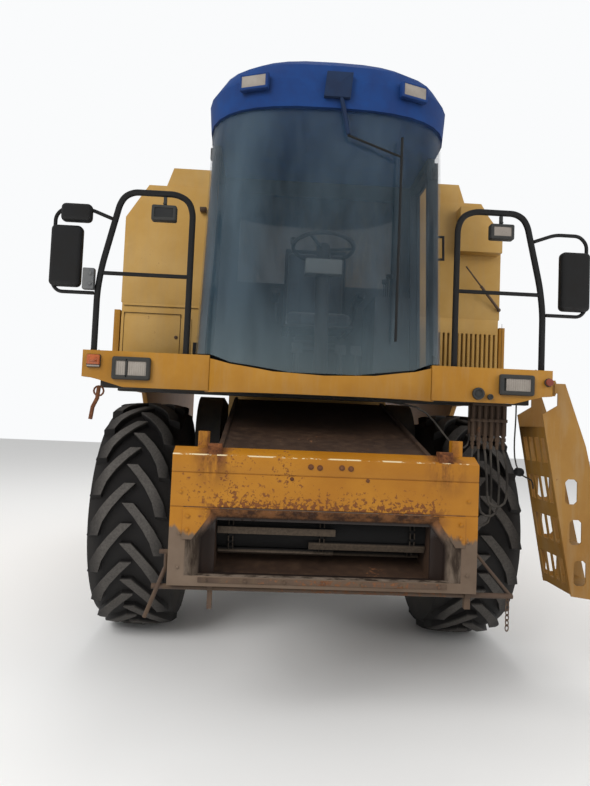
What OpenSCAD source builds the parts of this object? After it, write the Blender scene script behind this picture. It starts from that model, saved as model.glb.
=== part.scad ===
// Combine harvester without its cutting header, parked on its wheels.
// Millimetres. The outlines are laid out about the drive axle: X = 0 on the centre line with the
// machine's left at +X, Y = 0 at the drive axle with the front at -Y, Z = 0 on the ground.
// placed() then moves the whole machine so that its origin is the middle of its footprint.

/* [Front wheels] */
// Radius of a front tyre out to the lug tips
front_tyre_r = 895; // [850:5:930]
// Width of a front tyre
front_tyre_w = 650; // [600:10:680]
// Distance between the middles of the front tyres
front_track = 2538; // [2500:2:2600]
// Bead radius of a front rim
front_rim_r = 406; // [380:1:420]
// Lugs on each half of a front tyre
front_lugs = 20; // [16:1:22]
// Height of a front lug
front_lug_h = 48; // [35:1:55]

/* [Rear wheels] */
// Radius of a rear tyre out to the lug tips
rear_tyre_r = 635; // [600:5:650]
// Width of a rear tyre
rear_tyre_w = 400; // [360:10:420]
// Distance between the middles of the rear tyres
rear_track = 2500; // [2460:10:2560]
// Bead radius of a rear rim
rear_rim_r = 305; // [290:1:320]
// Lugs on each half of a rear tyre
rear_lugs = 18; // [14:1:20]
// Height of a rear lug
rear_lug_h = 34; // [25:1:40]
// Distance from the drive axle to the steered axle
wheelbase = 3600; // [3500:10:3700]

/* [Feeder] */
// Distance from the drive axle to the feeder's front face
feeder_reach = 2050; // [2000:5:2120]
// Half width of the feeder's front frame
feeder_frame_half = 796; // [780:1:810]
// Half width of the feeder's duct
feeder_half = 580; // [560:1:590]
// Height of the feeder's pivot
feeder_pivot_z = 1550; // [1540:1:1560]
// Bottom of the front frame
face_bottom_z = 827; // [800:1:850]
// Top of the front frame
face_top_z = 1490; // [1470:1:1500]
// Depth of the front frame
face_depth = 150; // [120:5:160]
// Radius of a lift cylinder's rod
lift_rod_r = 30; // [25:1:34]
// Radius of a lift cylinder's barrel
lift_barrel_r = 48; // [44:1:52]

/* [Body] */
// Half width of the tank and hoods
body_half = 1500; // [1490:1:1510]
// Half width of the threshing body between the wheels
core_half = 640; // [620:1:650]
// Distance from the drive axle forward to the body's front wall
body_front = 430; // [425:1:440]
// Top of the side shields and floor of the grain tank
deck_line_z = 2560; // [2550:1:2570]
// Top of the tank walls
tank_top_z = 3500; // [3480:5:3520]
// Height of the tank covers over the walls
cover_h = 150; // [130:5:170]
// Distance from the drive axle back to the tank's rear wall
tank_rear = 1900; // [1850:10:1950]
// Distance from the drive axle back to the rear of the engine hood
engine_rear = 3650; // [3600:10:3700]
// Distance from the drive axle back to the rearmost edge of the straw hood
rear_reach = 6050; // [5950:10:6150]
// Half width of the straw hood
hood_half = 740; // [720:5:760]
// Thickness of the body's sheets
sheet = 20; // [15:1:25]

/* [Cab] */
// Half width of the cab at its sill
cab_half = 822; // [815:1:826]
// Inward lean of the cab's sides in degrees
cab_lean = 1.7; // [1.4:0.1:2]
// Underside of the cab's floor
cab_floor_z = 1900; // [1890:1:1910]
// Thickness of the cab's floor
cab_floor_t = 60; // [50:1:70]
// Distance from the drive axle forward to the middle of the windscreen
screen_reach = 1620; // [1600:1:1640]
// Distance from the drive axle forward to where the windscreen begins to curve
screen_side = 1050; // [1030:1:1070]
// Distance from the drive axle forward to the back of the cab
cab_back = 470; // [460:1:480]
// Thickness of the glass
glass_t = 10; // [8:1:14]
// Top of the windscreen and underside of the roof
roof_under_z = 3570; // [3550:1:3590]
// Top of the cab roof
roof_top_z = 3960; // [3940:5:3970]

/* [Platform] */
// Distance from the drive axle forward to the platform's front panels
panel_front = 1455; // [1450:1:1460]
// Half width of the platform
panel_half = 1460; // [1450:1:1470]
// Top of the platform
platform_z = 2066; // [2060:1:2070]
// Lower edge of the platform's front panels
panel_low_z = 1848; // [1840:1:1855]
// Radius of the handrail tubes
rail_r = 20; // [17:1:24]
// Top of the handrails
rail_top_z = 3075; // [3060:5:3095]
// Reach of the mirrors from the centre line
mirror_reach = 1700; // [1690:5:1720]

/* [Ladder] */
// Reach of the ladder's foot from the centre line
ladder_reach = 1930; // [1910:5:1950]
// Height of the ladder's foot
ladder_foot_z = 640; // [620:5:660]
// Width of the ladder between the outsides of its side plates
ladder_w = 390; // [370:5:400]
// Distance between two steps
step_pitch = 253; // [245:1:260]

/* [Auger] */
// Radius of the unloading tube
auger_r = 165; // [150:1:170]
// Length of the unloading tube behind its pivot
auger_len = 5050; // [4900:10:5200]

/* [Hidden] */
$fn = 48;

fit_gap = 0.3; // between pieces that seat on each other
run_gap = 8; // between pieces that move past each other
centre_x = (ladder_reach - mirror_reach) / 2;
centre_y = (rear_reach - feeder_reach) / 2;

yellow = "#D99A1E";
pale_yellow = "#E3B564";
dark_steel = "#3A3836";
roof_blue = "#26344F";
rubber = "#1F1F1F";
glass_tint = [0.6, 0.72, 0.72, 0.45];

shield_half = body_half + 50;
cover_top_z = tank_top_z + cover_h;
auger_x = body_half - 115;
auger_z = tank_top_z - 260;
chamfer_w = 170; // of the tank's upper corner on the right, across and down
chamfer_h = 265;

module placed() translate([-centre_x, -centre_y, 0]) children();

module both() {
    children();
    mirror([1, 0, 0]) children();
}

// An outline in Y and Z, extruded across X
module across(x0, x1, outline) translate([x0, 0, 0]) rotate([90, 0, 90]) linear_extrude(x1 - x0)
    polygon(outline);

// An outline in X and Z, extruded along Y
module along(y0, y1, outline) translate([0, y1, 0]) rotate([90, 0, 0]) linear_extrude(y1 - y0)
    polygon(outline);

// A block between two corners
module block(low, high) translate(low) cube(high - low);

// A round bar between two points
module bar(from, to, r) {
    v = to - from;
    translate(from) rotate([0, acos(v.z / norm(v)), atan2(v.y, v.x)]) cylinder(r = r, h = norm(v));
}

// A tube through a row of points, with a ring of points at each one; flat is a direction across the tube
function along_path(p, i) = unit(i == 0 ? p[1] - p[0]
    : i == len(p) - 1 ? p[i] - p[i - 1]
    : unit(p[i] - p[i - 1]) + unit(p[i + 1] - p[i]));
function unit(v) = v / norm(v);
function knee(p, i) = i == 0 || i == len(p) - 1 ? 1 : 1 / (along_path(p, i) * unit(p[i] - p[i - 1]));
module tube(points, r, flat = [0, 1, 0], sides = 12) {
    rings = [for (i = [0:len(points) - 1]) let (t = along_path(points, i),
        u = unit(cross(cross(t, flat), t)), v = cross(t, u))
        for (k = [0:sides - 1]) points[i] + r * cos(360 * k / sides) * u + r * knee(points,
            i) * sin(360 * k / sides) * v];
    last = len(rings) - sides;
    polyhedron(rings, concat(
        [[for (k = [0:sides - 1]) k]],
        [for (i = [0:len(points) - 2], k = [0:sides - 1])
            let (j = (k + 1) % sides) [i * sides + j, i * sides + k, (i + 1) * sides + k,
            (i + 1) * sides + j]],
        [[for (k = [sides - 1:-1:0]) last + k]]));
}

// A cylinder along X between two places
module x_rod(x0, x1, y, z, r) translate([x0, y, z]) rotate([0, 90, 0]) cylinder(r = r, h = x1 - x0);

// A cylinder along Y between two places
module y_rod(y0, y1, x, z, r) translate([x, y1, z]) rotate([90, 0, 0]) cylinder(r = r, h = y1 - y0);

// Wheels

// One lug's outline on the unrolled tread: it starts past the middle and sweeps to the shoulder
function lug_line(w, t) = [-0.05 * w + 0.55 * w * t, 0.36 * w * (1 - pow(1 - t, 1.5))];
function lug_outline(w, lug_w) = concat(
    [for (t = [0:0.25:1]) lug_line(w, t) - [0, lug_w * 0.55]],
    [for (t = [1:-0.25:0]) lug_line(w, t) + [0, lug_w * 0.55]]);

// Half outline of the tread, as [radius, distance from the middle]
function tread_edge(r, w) = [[r, 0], [r - 4, 0.22 * w], [r - 18, 0.38 * w], [r - 45, 0.47 * w],
    [r - 80, 0.5 * w]];
function flipped(points) = [for (i = [len(points) - 1:-1:0]) [points[i].x, -points[i].y]];

module tyre(r, w, bead, lug_h, lugs) {
    base = r - lug_h;
    mid = bead + 0.5 * (base - bead);
    half = [[base, 0.15 * w], [base - 12, 0.34 * w], [base - 40, 0.44 * w], [mid + 20, 0.49 * w],
        [mid - 50, 0.47 * w], [bead + 30, 0.41 * w], [bead, 0.38 * w]];
    hollow = [[base - 40, 0.12 * w], [base - 60, 0.36 * w], [mid + 10, 0.455 * w], [mid - 40, 0.44 * w],
        [bead + 20, 0.36 * w], [bead, 0.35 * w]];
    rotate([0, 90, 0]) {
        rotate_extrude($fn = 96) difference() {
            polygon(concat(half, flipped(half)));
            polygon(concat(hollow, flipped(hollow)));
        }
        for (side = [0, 1], i = [0:lugs - 1])
            mirror([0, 0, side]) rotate([0, 0, (i + side / 2) * 360 / lugs]) lug(r, w, lug_h);
    }
}

// A lug rises along X from the carcass and is trimmed to the round of the tread
module lug(r, w, lug_h) intersection() {
    rotate([90, 0, 0]) rotate([0, 90, 0]) linear_extrude(r) polygon([for (p = lug_outline(w, 0.11 * w)) p]);
    rotate([0, 0, -25]) rotate_extrude(angle = 50, $fn = 96) polygon(concat(
        tread_edge(r, w), [[r - 160, 0.47 * w], [r - 160, 0.44 * w], [r - lug_h - 45, 0.40 * w],
        [r - lug_h - 25, 0.2 * w], [r - lug_h - 12, -0.06 * w], [r, -0.06 * w]]));
}

module rim(bead, w, dish, hub_x, bore) {
    half = 0.40 * w;
    rotate([0, 90, 0]) rotate_extrude($fn = 96) polygon([
        [bead - fit_gap, -0.35 * w], [bead - fit_gap, 0.35 * w], [bead - fit_gap, half], [bead - 18, half],
        [bead - 18, dish + 24], [bead * 0.62, dish + 50], [bead * 0.45, dish + 10], [bore, dish + 10],
        [bore, hub_x], [bead * 0.40, hub_x], [bead * 0.40, dish - 8], [bead * 0.60, dish + 30],
        [bead - 18, dish + 4], [bead - 18, -half], [bead - fit_gap, -half]]);
}

front_wheel_x = front_track / 2;
rear_wheel_x = rear_track / 2;
axle_end = 908; // outer end of the final drive
spindle_r = 70;
front_dish = 60; // middle of the front wheel out to its disc
rear_spindle_r = 40;
kingpin_x = 960;
kingpin_end = 100; // kingpin out to the wheel's hub
rear_dish = 30;

module front_wheel_at(side) translate([side * front_wheel_x, 0, front_tyre_r])
    mirror([side < 0 ? 1 : 0, 0, 0]) children();
module rear_wheel_at(side) translate([side * rear_wheel_x, wheelbase, rear_tyre_r])
    mirror([side < 0 ? 1 : 0, 0, 0]) children();

module front_tyre(side) color(rubber) placed() front_wheel_at(side)
    tyre(front_tyre_r, front_tyre_w, front_rim_r, front_lug_h, front_lugs);
module rear_tyre(side) color(rubber) placed() rear_wheel_at(side)
    tyre(rear_tyre_r, rear_tyre_w, rear_rim_r, rear_lug_h, rear_lugs);
module front_rim(side) color(yellow) placed() front_wheel_at(side)
    rim(front_rim_r, front_tyre_w, front_dish, axle_end + fit_gap - front_wheel_x, spindle_r + fit_gap);
module rear_rim(side) color(yellow) placed() rear_wheel_at(side)
    rim(rear_rim_r, rear_tyre_w, rear_dish, kingpin_x + kingpin_end + fit_gap - rear_wheel_x,
        rear_spindle_r + fit_gap);

module front_tyre_left() front_tyre(1);
module front_tyre_right() front_tyre(-1);
module rear_tyre_left() rear_tyre(1);
module rear_tyre_right() rear_tyre(-1);
module front_rim_left() front_rim(1);
module front_rim_right() front_rim(-1);
module rear_rim_left() rear_rim(1);
module rear_rim_right() rear_rim(-1);

// Drive axle with its final drives and the lugs that hold the lift cylinders
beam_half = 105;
lift_x = 700; // lift cylinder from the centre line
lift_eye_w = 78;
barrel_y = -260;
barrel_z = 700;
rod_y = -1550;
rod_z = 905;
lift_pin_r = 20;
ear_t = 15;

module drive_axle() color(dark_steel) placed() {
    block([-780, -beam_half, front_tyre_r - beam_half], [780, beam_half, front_tyre_r + beam_half]);
    both() {
        x_rod(778, axle_end, 0, front_tyre_r, 230);
        x_rod(axle_end - 2, front_wheel_x - 20, 0, front_tyre_r, spindle_r);
        for (x = [lift_x - lift_eye_w / 2 - ear_t - 2, lift_x + lift_eye_w / 2 + 2])
            across(x, x + ear_t, [[-beam_half + 20, front_tyre_r - 45], [barrel_y - 45, barrel_z + 40],
                [barrel_y - 45, barrel_z - 45],
                [barrel_y + 50, barrel_z - 45], [-beam_half + 20, front_tyre_r - 130]]);
        x_rod(lift_x - lift_eye_w / 2 - ear_t - 2, lift_x + lift_eye_w / 2 + ear_t + 2, barrel_y, barrel_z,
            lift_pin_r);
        block([560, -beam_half + 4, front_tyre_r - 140],
            [780, beam_half - 4, front_tyre_r - beam_half + 5]);
    }
}

// Frame rails, the carrier of the steered axle and the tow hitch
rail_z = 1340;
pivot_y = -300;
feeder_shaft_r = 40;
core_front = -250; // front of the threshing body behind the feeder
rail_h = 130;
rear_pivot_z = 690;
rear_boss_r = 75;
rear_pin_r = 35;
hitch_y = 4420;
hitch_z = 700;
hitch_pin_r = 16;

module chassis() color(dark_steel) placed() {
    both() {
        across(core_half + fit_gap, core_half + 60,
            [[-300, 1180], [-300, 1330], [2500, 1330], [2950, rail_z + rail_h],
            [5100, rail_z + rail_h], [5100, rail_z], [3000, rail_z], [2550, 1200], [2400, 1180]]);
        across(core_half + fit_gap, core_half + 60,
            [[-170, front_tyre_r + beam_half + fit_gap], [-240, 1190], [240, 1190],
            [170, front_tyre_r + beam_half + fit_gap]]);
        difference() {
            across(feeder_half + 20, core_half + 20,
                [[pivot_y - 70, 1450], [pivot_y - 100, feeder_pivot_z], [pivot_y - 40, feeder_pivot_z + 90],
                [core_front - fit_gap, feeder_pivot_z + 90], [core_front - fit_gap, 1180],
                    [pivot_y, 1180]]);
            x_rod(feeder_half, core_half + 40, pivot_y, feeder_pivot_z, feeder_shaft_r + fit_gap);
        }
    }
    // cross members
    block([-core_half - 20, 4950, rail_z + 10], [core_half + 20, 5040, rail_z + rail_h - 10]);
    block([-core_half - 20, wheelbase - 190, rail_z + 2],
        [core_half + 20, wheelbase + 190, rail_z + rail_h]);
    // carrier of the steered axle
    for (s = [-1, 1])
        along(wheelbase + s * 130 - 20, wheelbase + s * 130 + 20,
            [[-330, rail_z + 10], [-120, rear_pivot_z - 20], [-70, rear_pivot_z - 90],
            [70, rear_pivot_z - 90], [120, rear_pivot_z - 20], [330, rail_z + 10]]);
    y_rod(wheelbase - 165, wheelbase + 165, 0, rear_pivot_z, rear_pin_r);
    // tow hitch
    block([-50, wheelbase + 148, hitch_z - 50], [50, hitch_y - 60, hitch_z + 50]);
    across(-50, 50, [[wheelbase + 148, hitch_z + 40], [hitch_y - 120, hitch_z + 40],
        [wheelbase + 148, hitch_z + 260]]);
    for (s = [-1, 1]) difference() {
        block([-50, hitch_y - 70, hitch_z + s * 40 - 12], [50, hitch_y + 45, hitch_z + s * 40 + 12]);
        translate([0, hitch_y, hitch_z - 80]) cylinder(r = hitch_pin_r, h = 160);
    }
}

// Steered axle: a beam on a centre pin, with a knuckle at each end
knuckle_fork = 110; // middle of the kingpin sleeve up and down to the fork
module rear_axle_beam() color(dark_steel) placed() difference() {
    union() {
        along(wheelbase - 75, wheelbase + 75, [[-kingpin_x, rear_tyre_r - 60],
            [-kingpin_x, rear_tyre_r + 60], [-150, rear_pivot_z + 85],
            [150, rear_pivot_z + 85], [kingpin_x, rear_tyre_r + 60], [kingpin_x, rear_tyre_r - 60],
                [200, rear_pivot_z - 85], [-200, rear_pivot_z - 85]]);
        y_rod(wheelbase - 105, wheelbase + 105, 0, rear_pivot_z, rear_boss_r);
        both() translate([kingpin_x, wheelbase, rear_tyre_r - 95]) cylinder(r = 58, h = 190);
    }
    y_rod(wheelbase - 200, wheelbase + 200, 0, rear_pivot_z, rear_pin_r + fit_gap);
    both() translate([kingpin_x, wheelbase, rear_tyre_r - 200]) cylinder(r = 28 + fit_gap, h = 400);
}

module knuckle(side) color(dark_steel) placed() translate([side * kingpin_x, wheelbase, rear_tyre_r])
    mirror([side < 0 ? 1 : 0, 0, 0]) {
    for (z = [95 + fit_gap, -95 - fit_gap - 35]) {
        translate([0, 0, z]) cylinder(r = 60, h = 35);
        block([0, -50, z], [kingpin_end, 50, z + 35]);
    }
    block([kingpin_end - 34, -50, -95 - fit_gap - 35], [kingpin_end, 50, 95 + fit_gap + 35]);
    translate([0, 0, -130]) cylinder(r = 28, h = 260);
    x_rod(kingpin_end - 10, rear_wheel_x - kingpin_x, 0, 0, rear_spindle_r);
    across(-25, 25, [[0, -125], [260, -125], [260, -100], [0, -100]]);
}
module knuckle_left() knuckle(1);
module knuckle_right() knuckle(-1);

// Threshing body, cleaning shoe and the walls around them

core_rear = 4900;
core_low = [[2900, 1480], [2450, 1345], [250, 1260]];
module threshing_body() color(pale_yellow) placed() {
    across(-core_half, core_half, concat([[core_front, 1260], [core_front, cab_floor_z - 10],
        [-body_front + sheet, cab_floor_z - 10],
        [-body_front + sheet, deck_line_z - fit_gap], [core_rear, deck_line_z - fit_gap],
            [core_rear, 1480]], core_low));
}

module cleaning_shoe() color("#8C8A84") placed() {
    across(-core_half + 40, core_half - 40,
        [[700, 1277 - fit_gap], [620, 1050], [900, 820], [2300, 820], [2700, 960], [2990, 1300],
        core_low[0] - [0, fit_gap], core_low[1] - [0, fit_gap]]);
    x_rod(-core_half + 25, core_half - 25, 600, 1000, 250);
    x_rod(-core_half + 5, core_half - 5, 1350, 800, 110);
    x_rod(-core_half + 5, core_half - 5, 2050, 800, 110);
}

tank_side_out = auger_x - auger_r - 20; // tank wall beside the unloading tube
ledge_z = auger_z - auger_r - 60;

// Half of a cover's hinge, as for the shields
lid_x = tank_side_out + 8;
lid_z = tank_top_z + 12;
module lid_hinge(y0, y1, low, high) {
    y_rod(y0, y1, lid_x, lid_z, 10);
    block([lid_x + low.x, y0, lid_z + low.y], [lid_x + high.x, y1, lid_z + high.y]);
}

module tank_walls(inset, z0, z1) {
    y0 = -body_front + inset;
    y1 = tank_rear - inset;
    along(y0, y1, [[-body_half + inset, z0], [-body_half + inset, tank_top_z - chamfer_h - inset / 2],
        [-body_half + chamfer_w + inset / 2, z1],
        [tank_side_out - inset, z1], [tank_side_out - inset, ledge_z + (inset > 0 ? -sheet : 0)],
            [body_half - inset, ledge_z + (inset > 0 ? -sheet : 0)], [body_half - inset, z0]]);
}

module grain_tank() color(pale_yellow) placed() {
    difference() {
        union() {
            tank_walls(0, deck_line_z, tank_top_z);
            // front wall, as wide on the auger's side
            along(-body_front, -body_front + sheet,
                [[0, deck_line_z], [0, tank_top_z], [body_half - chamfer_w, tank_top_z],
                [body_half, tank_top_z - chamfer_h], [body_half, deck_line_z]]);
            along(-body_front - 110, -body_front + 5,
                [[body_half - 370, auger_z - 165], [body_half - 370, tank_top_z - 70],
                [body_half - 200, tank_top_z - 70],
                [body_half - 30, auger_z - 30], [body_half - 30, auger_z - 165]]);
        }
        // hopper
        difference() {
            tank_walls(sheet, deck_line_z - 1, tank_top_z + 1);
            across(-body_half, body_half, [[-body_front, deck_line_z - 1],
                [-body_front, deck_line_z + 20 + sheet], [tank_rear, deck_line_z + 20 + sheet],
                [tank_rear, deck_line_z - 1]]);
            for (s = [-1, 1]) along(-body_front, tank_rear,
                [[s * 500, deck_line_z - 1], [s * 500, deck_line_z + 38],
                [s * body_half, deck_line_z + 420], [s * body_half, deck_line_z - 1]]);
        }
    }
    // edge of the filling hole, hinges of the covers and the shields, turret and cradle of the unloading tube
    block([-body_half + chamfer_w + 5, -body_front + 1, tank_top_z - sheet],
        [-tank_side_out + 20, tank_rear - 1, tank_top_z]);
    both() for (y = [0, 1500]) {
        shield_hinge(y + 60 + fit_gap, y + 120, [-35, 0], [8, 45]);
        lid_hinge(y + 60 + fit_gap, y + 120, [-10, -32], [0, 0]);
    }
    translate([auger_x, 50, ledge_z - 2]) cylinder(r = auger_r - 10,
        h = 2 + auger_z - auger_r - 50 - ledge_z);
    along(1500, 1540, [[auger_x - 120, ledge_z - 2], [auger_x - 120, auger_z - auger_r - 5],
        [auger_x + 120, auger_z - auger_r - 5], [auger_x + 120, ledge_z - 2]]);
}

// Front wall below the tank: an access door on the right, a louvred panel on the left
louvre = [body_half - 550, body_half - 10, 2140, 2440]; // x from, x to, z from, z to
slat_pitch = 37;
module front_bulkhead() color(pale_yellow) placed() {
    both() difference() {
        along(-body_front, -body_front + sheet,
            [[cab_half + 8, cab_floor_z], [cab_half + 8, deck_line_z - fit_gap],
            [body_half - 8, deck_line_z - fit_gap], [body_half - 8, cab_floor_z]]);
        block([louvre[0], -body_front - 10, louvre[2]], [louvre[1], -body_front + sheet + 10, louvre[3]]);
    }
    along(-body_front, -body_front + sheet,
        [[-cab_half - 10, cab_floor_z], [-cab_half - 10, deck_line_z - fit_gap],
        [cab_half + 10, deck_line_z - fit_gap], [cab_half + 10, cab_floor_z]]);
    for (x = [louvre[0]:slat_pitch:louvre[1] - 10])
        translate([x, 0, 0]) along(-body_front - 6, -body_front + sheet - 4,
            [[0, louvre[2] - 2], [0, louvre[3] + 2], [20, louvre[3] + 2], [20, louvre[2] - 2]]);
    block([-louvre[1] - 2, -body_front - 6, louvre[2] - 12],
        [-louvre[0] + 2, -body_front + sheet, louvre[3] + 12]);
}

// One half of a shield's hinge: a barrel on the hinge line and a tab from low to high about that line
hinge_x = shield_half - 22.5;
hinge_z = deck_line_z - 30;
module shield_hinge(y0, y1, low, high) {
    y_rod(y0, y1, hinge_x, hinge_z, 10);
    block([hinge_x + low.x, y0, hinge_z + low.y], [hinge_x + high.x, y1, hinge_z + high.y]);
}

// Side shield, hinged along its top edge, cut away over the front wheel and the steered wheel
shield_t = 45;
shield_rear = 4550;
swage_z = [2060, 2300]; // pressed ribs
module side_shield(side) color(yellow) placed() mirror([side < 0 ? 1 : 0, 0, 0]) {
    across(shield_half - shield_t, shield_half,
        [[-body_front + 6, 1900], [-body_front + 6, deck_line_z - 60], [shield_rear, deck_line_z - 60],
        [shield_rear, 1620], [2850, 1520], [2700, 1020], [1120, 1020], [960, 1700], [760, 1900]]);
    for (z = swage_z) across(shield_half - 1, shield_half + 8,
        [[-body_front + 40, z - 12], [-body_front + 45, z + 12], [shield_rear - 45, z + 12],
        [shield_rear - 40, z - 12]]);
    for (y = [0, 1500, 3800]) shield_hinge(y, y + 60, [-8, -32], [8, 0]);
}
module side_shield_left() side_shield(1);
module side_shield_right() side_shield(-1);

// Engine deck and its hood
screen_y = 2700;
screen_z = deck_line_z + 440;
screen_r = 400;
function engine_outline(inset) = [[-body_half + inset, deck_line_z + inset],
    [-body_half + inset, tank_top_z - 200 - inset / 4],
    [-body_half + 150 + inset / 4, tank_top_z - 60 - inset],
        [tank_side_out - inset, tank_top_z - 60 - inset],
    [tank_side_out - inset, ledge_z - inset], [body_half - inset, ledge_z - inset],
        [body_half - inset, deck_line_z + inset]];
vent_pitch = (ledge_z - deck_line_z - 155) / 5;
module engine_hood() color(yellow) placed() {
    difference() {
        along(tank_rear + fit_gap, engine_rear, engine_outline(0));
        along(tank_rear + sheet, engine_rear - sheet, engine_outline(sheet));
        x_rod(-body_half - 10, -body_half + sheet + 10, screen_y, screen_z, screen_r + run_gap);
        translate([700, 3250, tank_top_z - 200]) cylinder(r = 75, h = 300);
        for (i = [0:4]) let (z = deck_line_z + 100 + i * vent_pitch)
            block([body_half - sheet - 10, 2250, z], [body_half + 10, 3300, z + 26]);
    }
    both() block([hood_half + 1, engine_rear - 1, deck_line_z],
        [body_half, shield_rear, deck_line_z + sheet]);
    both() shield_hinge(3860 + fit_gap, 3920, [-35, 0], [8, 45]);
    x_rod(-body_half + sheet + 60, -body_half + sheet + 80, screen_y, screen_z, 90);
    block([-body_half + sheet + 62, screen_y - 30, deck_line_z + sheet - 2],
        [-body_half + sheet + 78, screen_y + 30, screen_z]);
    x_rod(-body_half - 15, -body_half + sheet + 70, screen_y, screen_z, 25);
}

module radiator_screen() color(dark_steel) placed() difference() {
    union() {
        difference() {
            x_rod(-body_half - 55, -body_half + 20, screen_y, screen_z, screen_r);
            x_rod(-body_half - 45, -body_half + 30, screen_y, screen_z, screen_r - 12);
        }
        x_rod(-body_half - 50, -body_half + 20, screen_y, screen_z, 60);
    }
    x_rod(-body_half - 42, -body_half + 30, screen_y, screen_z, 25 + fit_gap);
}

module engine_block() color("#5B5A57") placed() {
    block([-550, 2150, deck_line_z + sheet + fit_gap], [450, 3250, tank_top_z - 170]);
    block([400, 3150, 2900], [700, 3300, 3050]);
    tube([[700, 3250, 2960], [700, 3250, tank_top_z + 200], [700, 3330, tank_top_z + 280]], 60, [1, 0, 0]);
}

// Straw hood, open below and at the back, over the chopper
hood_front = engine_rear + fit_gap;
hood_wall = core_rear + 5;
hood_top = deck_line_z + 380;
hood_roof = [[hood_front, deck_line_z], [hood_front, hood_top], [4700, hood_top], [5700, 2600],
    [rear_reach, 1850], [rear_reach - 60, 1560], [hood_wall, 1480], [hood_wall, deck_line_z]];
module straw_hood() color(yellow) placed() difference() {
    across(-hood_half, hood_half, hood_roof);
    across(-hood_half + sheet, hood_half - sheet,
        [[hood_front + sheet, deck_line_z + sheet], [hood_front + sheet, hood_top - sheet],
        [4697, hood_top - sheet],
        [5685, 2585], [rear_reach - sheet, 1845], [rear_reach - 90, 1500], [hood_wall + sheet, 1400],
            [hood_wall + sheet, deck_line_z + sheet]]);
}

module straw_chopper() color(dark_steel) placed() {
    across(-hood_half + sheet + 4, hood_half - sheet - 4,
        [[5130, 1478], [5110, 1330], [5020, 1250], [5120, 1080], [5420, 1080], [5640, 1200], [5740, 1440],
        [5740, 1500]]);
    both() x_rod(hood_half - sheet - 6, hood_half + 60, 5330, 1270, 90);
    both() across(core_half + fit_gap, core_half + 59,
        [[5000, rail_z - fit_gap], [5000, rail_z - 150], [5150, rail_z - 150], [5150, rail_z - fit_gap]]);
    // ears of the deflector's shaft
    both() difference() {
        block([655, 5720, deflector_z - 30], [675, deflector_y + 40, deflector_z + 30]);
        x_rod(640, 700, deflector_y + 10, deflector_z, 16 + fit_gap);
    }
}

deflector_y = 5765;
deflector_z = 1400;
module chopper_deflector() color(yellow) placed() {
    x_rod(-680, 680, deflector_y + 10, deflector_z, 16);
    across(-640, 640, [[deflector_y + 5, deflector_z + 10], [deflector_y + 15, deflector_z + 10],
        [6010, 1160], [6000, 1150]]);
    for (x = [-600:200:600]) across(x - 5, x + 5,
        [[deflector_y + 20, deflector_z - 20], [5990, 1165], [5860, 1165]]);
}

// Feeder: a duct with a chain, behind the frame that carries the header

face_y = -feeder_reach;
face_back = face_y + face_depth;
duct_front = face_back - 60 + fit_gap;
duct_top = [[-440, 1840], [duct_front, 1499]];
duct_low = [[duct_front, 845], [-450, 1225]];
chain_x = [-490, 0, 490];

module feeder_housing() color(pale_yellow) placed() {
    difference() {
        across(-feeder_half, feeder_half, concat(duct_top, duct_low));
        across(-feeder_half + 12, feeder_half - 12,
            [[-400, 1836], [duct_front - 2, 1486], [duct_front - 2, 858], [-400, 1252]]);
    }
    both() {
        across(feeder_half - 2, feeder_half + 18,
            [[pivot_y + 48, feeder_pivot_z], [pivot_y, feeder_pivot_z + 60], [-500, 1700], [-500, 1400],
            [pivot_y, feeder_pivot_z - 60]]);
        for (x = [lift_x - lift_eye_w / 2 - ear_t - 2, lift_x + lift_eye_w / 2 + 2])
            across(x, x + ear_t, [[rod_y - 60, rod_z - 45], [rod_y - 60, rod_z + 110],
                [rod_y + 60, rod_z + 110], [rod_y + 60, rod_z - 45]]);
        block([feeder_half - 20, rod_y - 60, rod_z + 80],
            [lift_x + lift_eye_w / 2 + ear_t + 2, rod_y + 60, rod_z + 110]);
    }
    both() across(feeder_half - 25, feeder_half,
        [[-445, 1832], [-445, 1855], [duct_front, 1514], [duct_front, 1492]]);
    x_rod(-core_half - 35, core_half + 35, pivot_y, feeder_pivot_z, feeder_shaft_r);
}

opening_outline = [[-640, 878], [-640, 1055], [-555, 1165], [555, 1165], [640, 1055], [640, 878]];
funnel_outline = [[-715, 878], [-715, 1075], [-620, 1219], [620, 1219], [715, 1075], [715, 878]];
seam_z = [1225, 1400]; // where the face's sheets meet
module feeder_face() color(yellow) placed() {
    difference() {
        along(face_y, face_back, [[-feeder_frame_half, face_bottom_z], [-feeder_frame_half, face_top_z],
            [feeder_frame_half, face_top_z], [feeder_frame_half, face_bottom_z]]);
        along(face_y - 1, face_back - 75, opening_outline);
        hull() {
            along(face_y - 1, face_y, funnel_outline);
            along(face_y + 60, face_y + 61, opening_outline);
        }
        for (z = seam_z) block([-feeder_frame_half - 1, face_y - 1, z - 3],
            [feeder_frame_half + 1, face_y + 5, z + 3]);
        block([-feeder_half + 12, face_y, opening_outline[0].y], [feeder_half - 12, face_back + 1, 1150]);
        block([-feeder_half - fit_gap, face_back - 60, 800], [feeder_half + fit_gap, face_back + 1, 1600]);
    }
    across(-feeder_frame_half, feeder_frame_half,
        [[face_y, face_top_z - 2], [face_y, face_top_z], [face_back - 70, face_top_z + 38],
        [face_back - 62, face_top_z + 38], [face_back - 62, face_top_z - 2]]);
    // hooks that hold the header's beam
    for (x = [-585, 625]) translate([x, 0, 0])
        across(-35, 35, [[face_y + 10, face_top_z - 1], [face_y + 10, face_top_z + 45],
        [face_y + 25, face_top_z + 60], [face_y + 85, face_top_z + 60], [face_y + 85, face_top_z - 1]]);
    for (x = [-652, 705]) block([x - 28, face_back - 60, face_top_z - 20],
        [x + 28, face_back, face_top_z + 120]);
}

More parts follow.
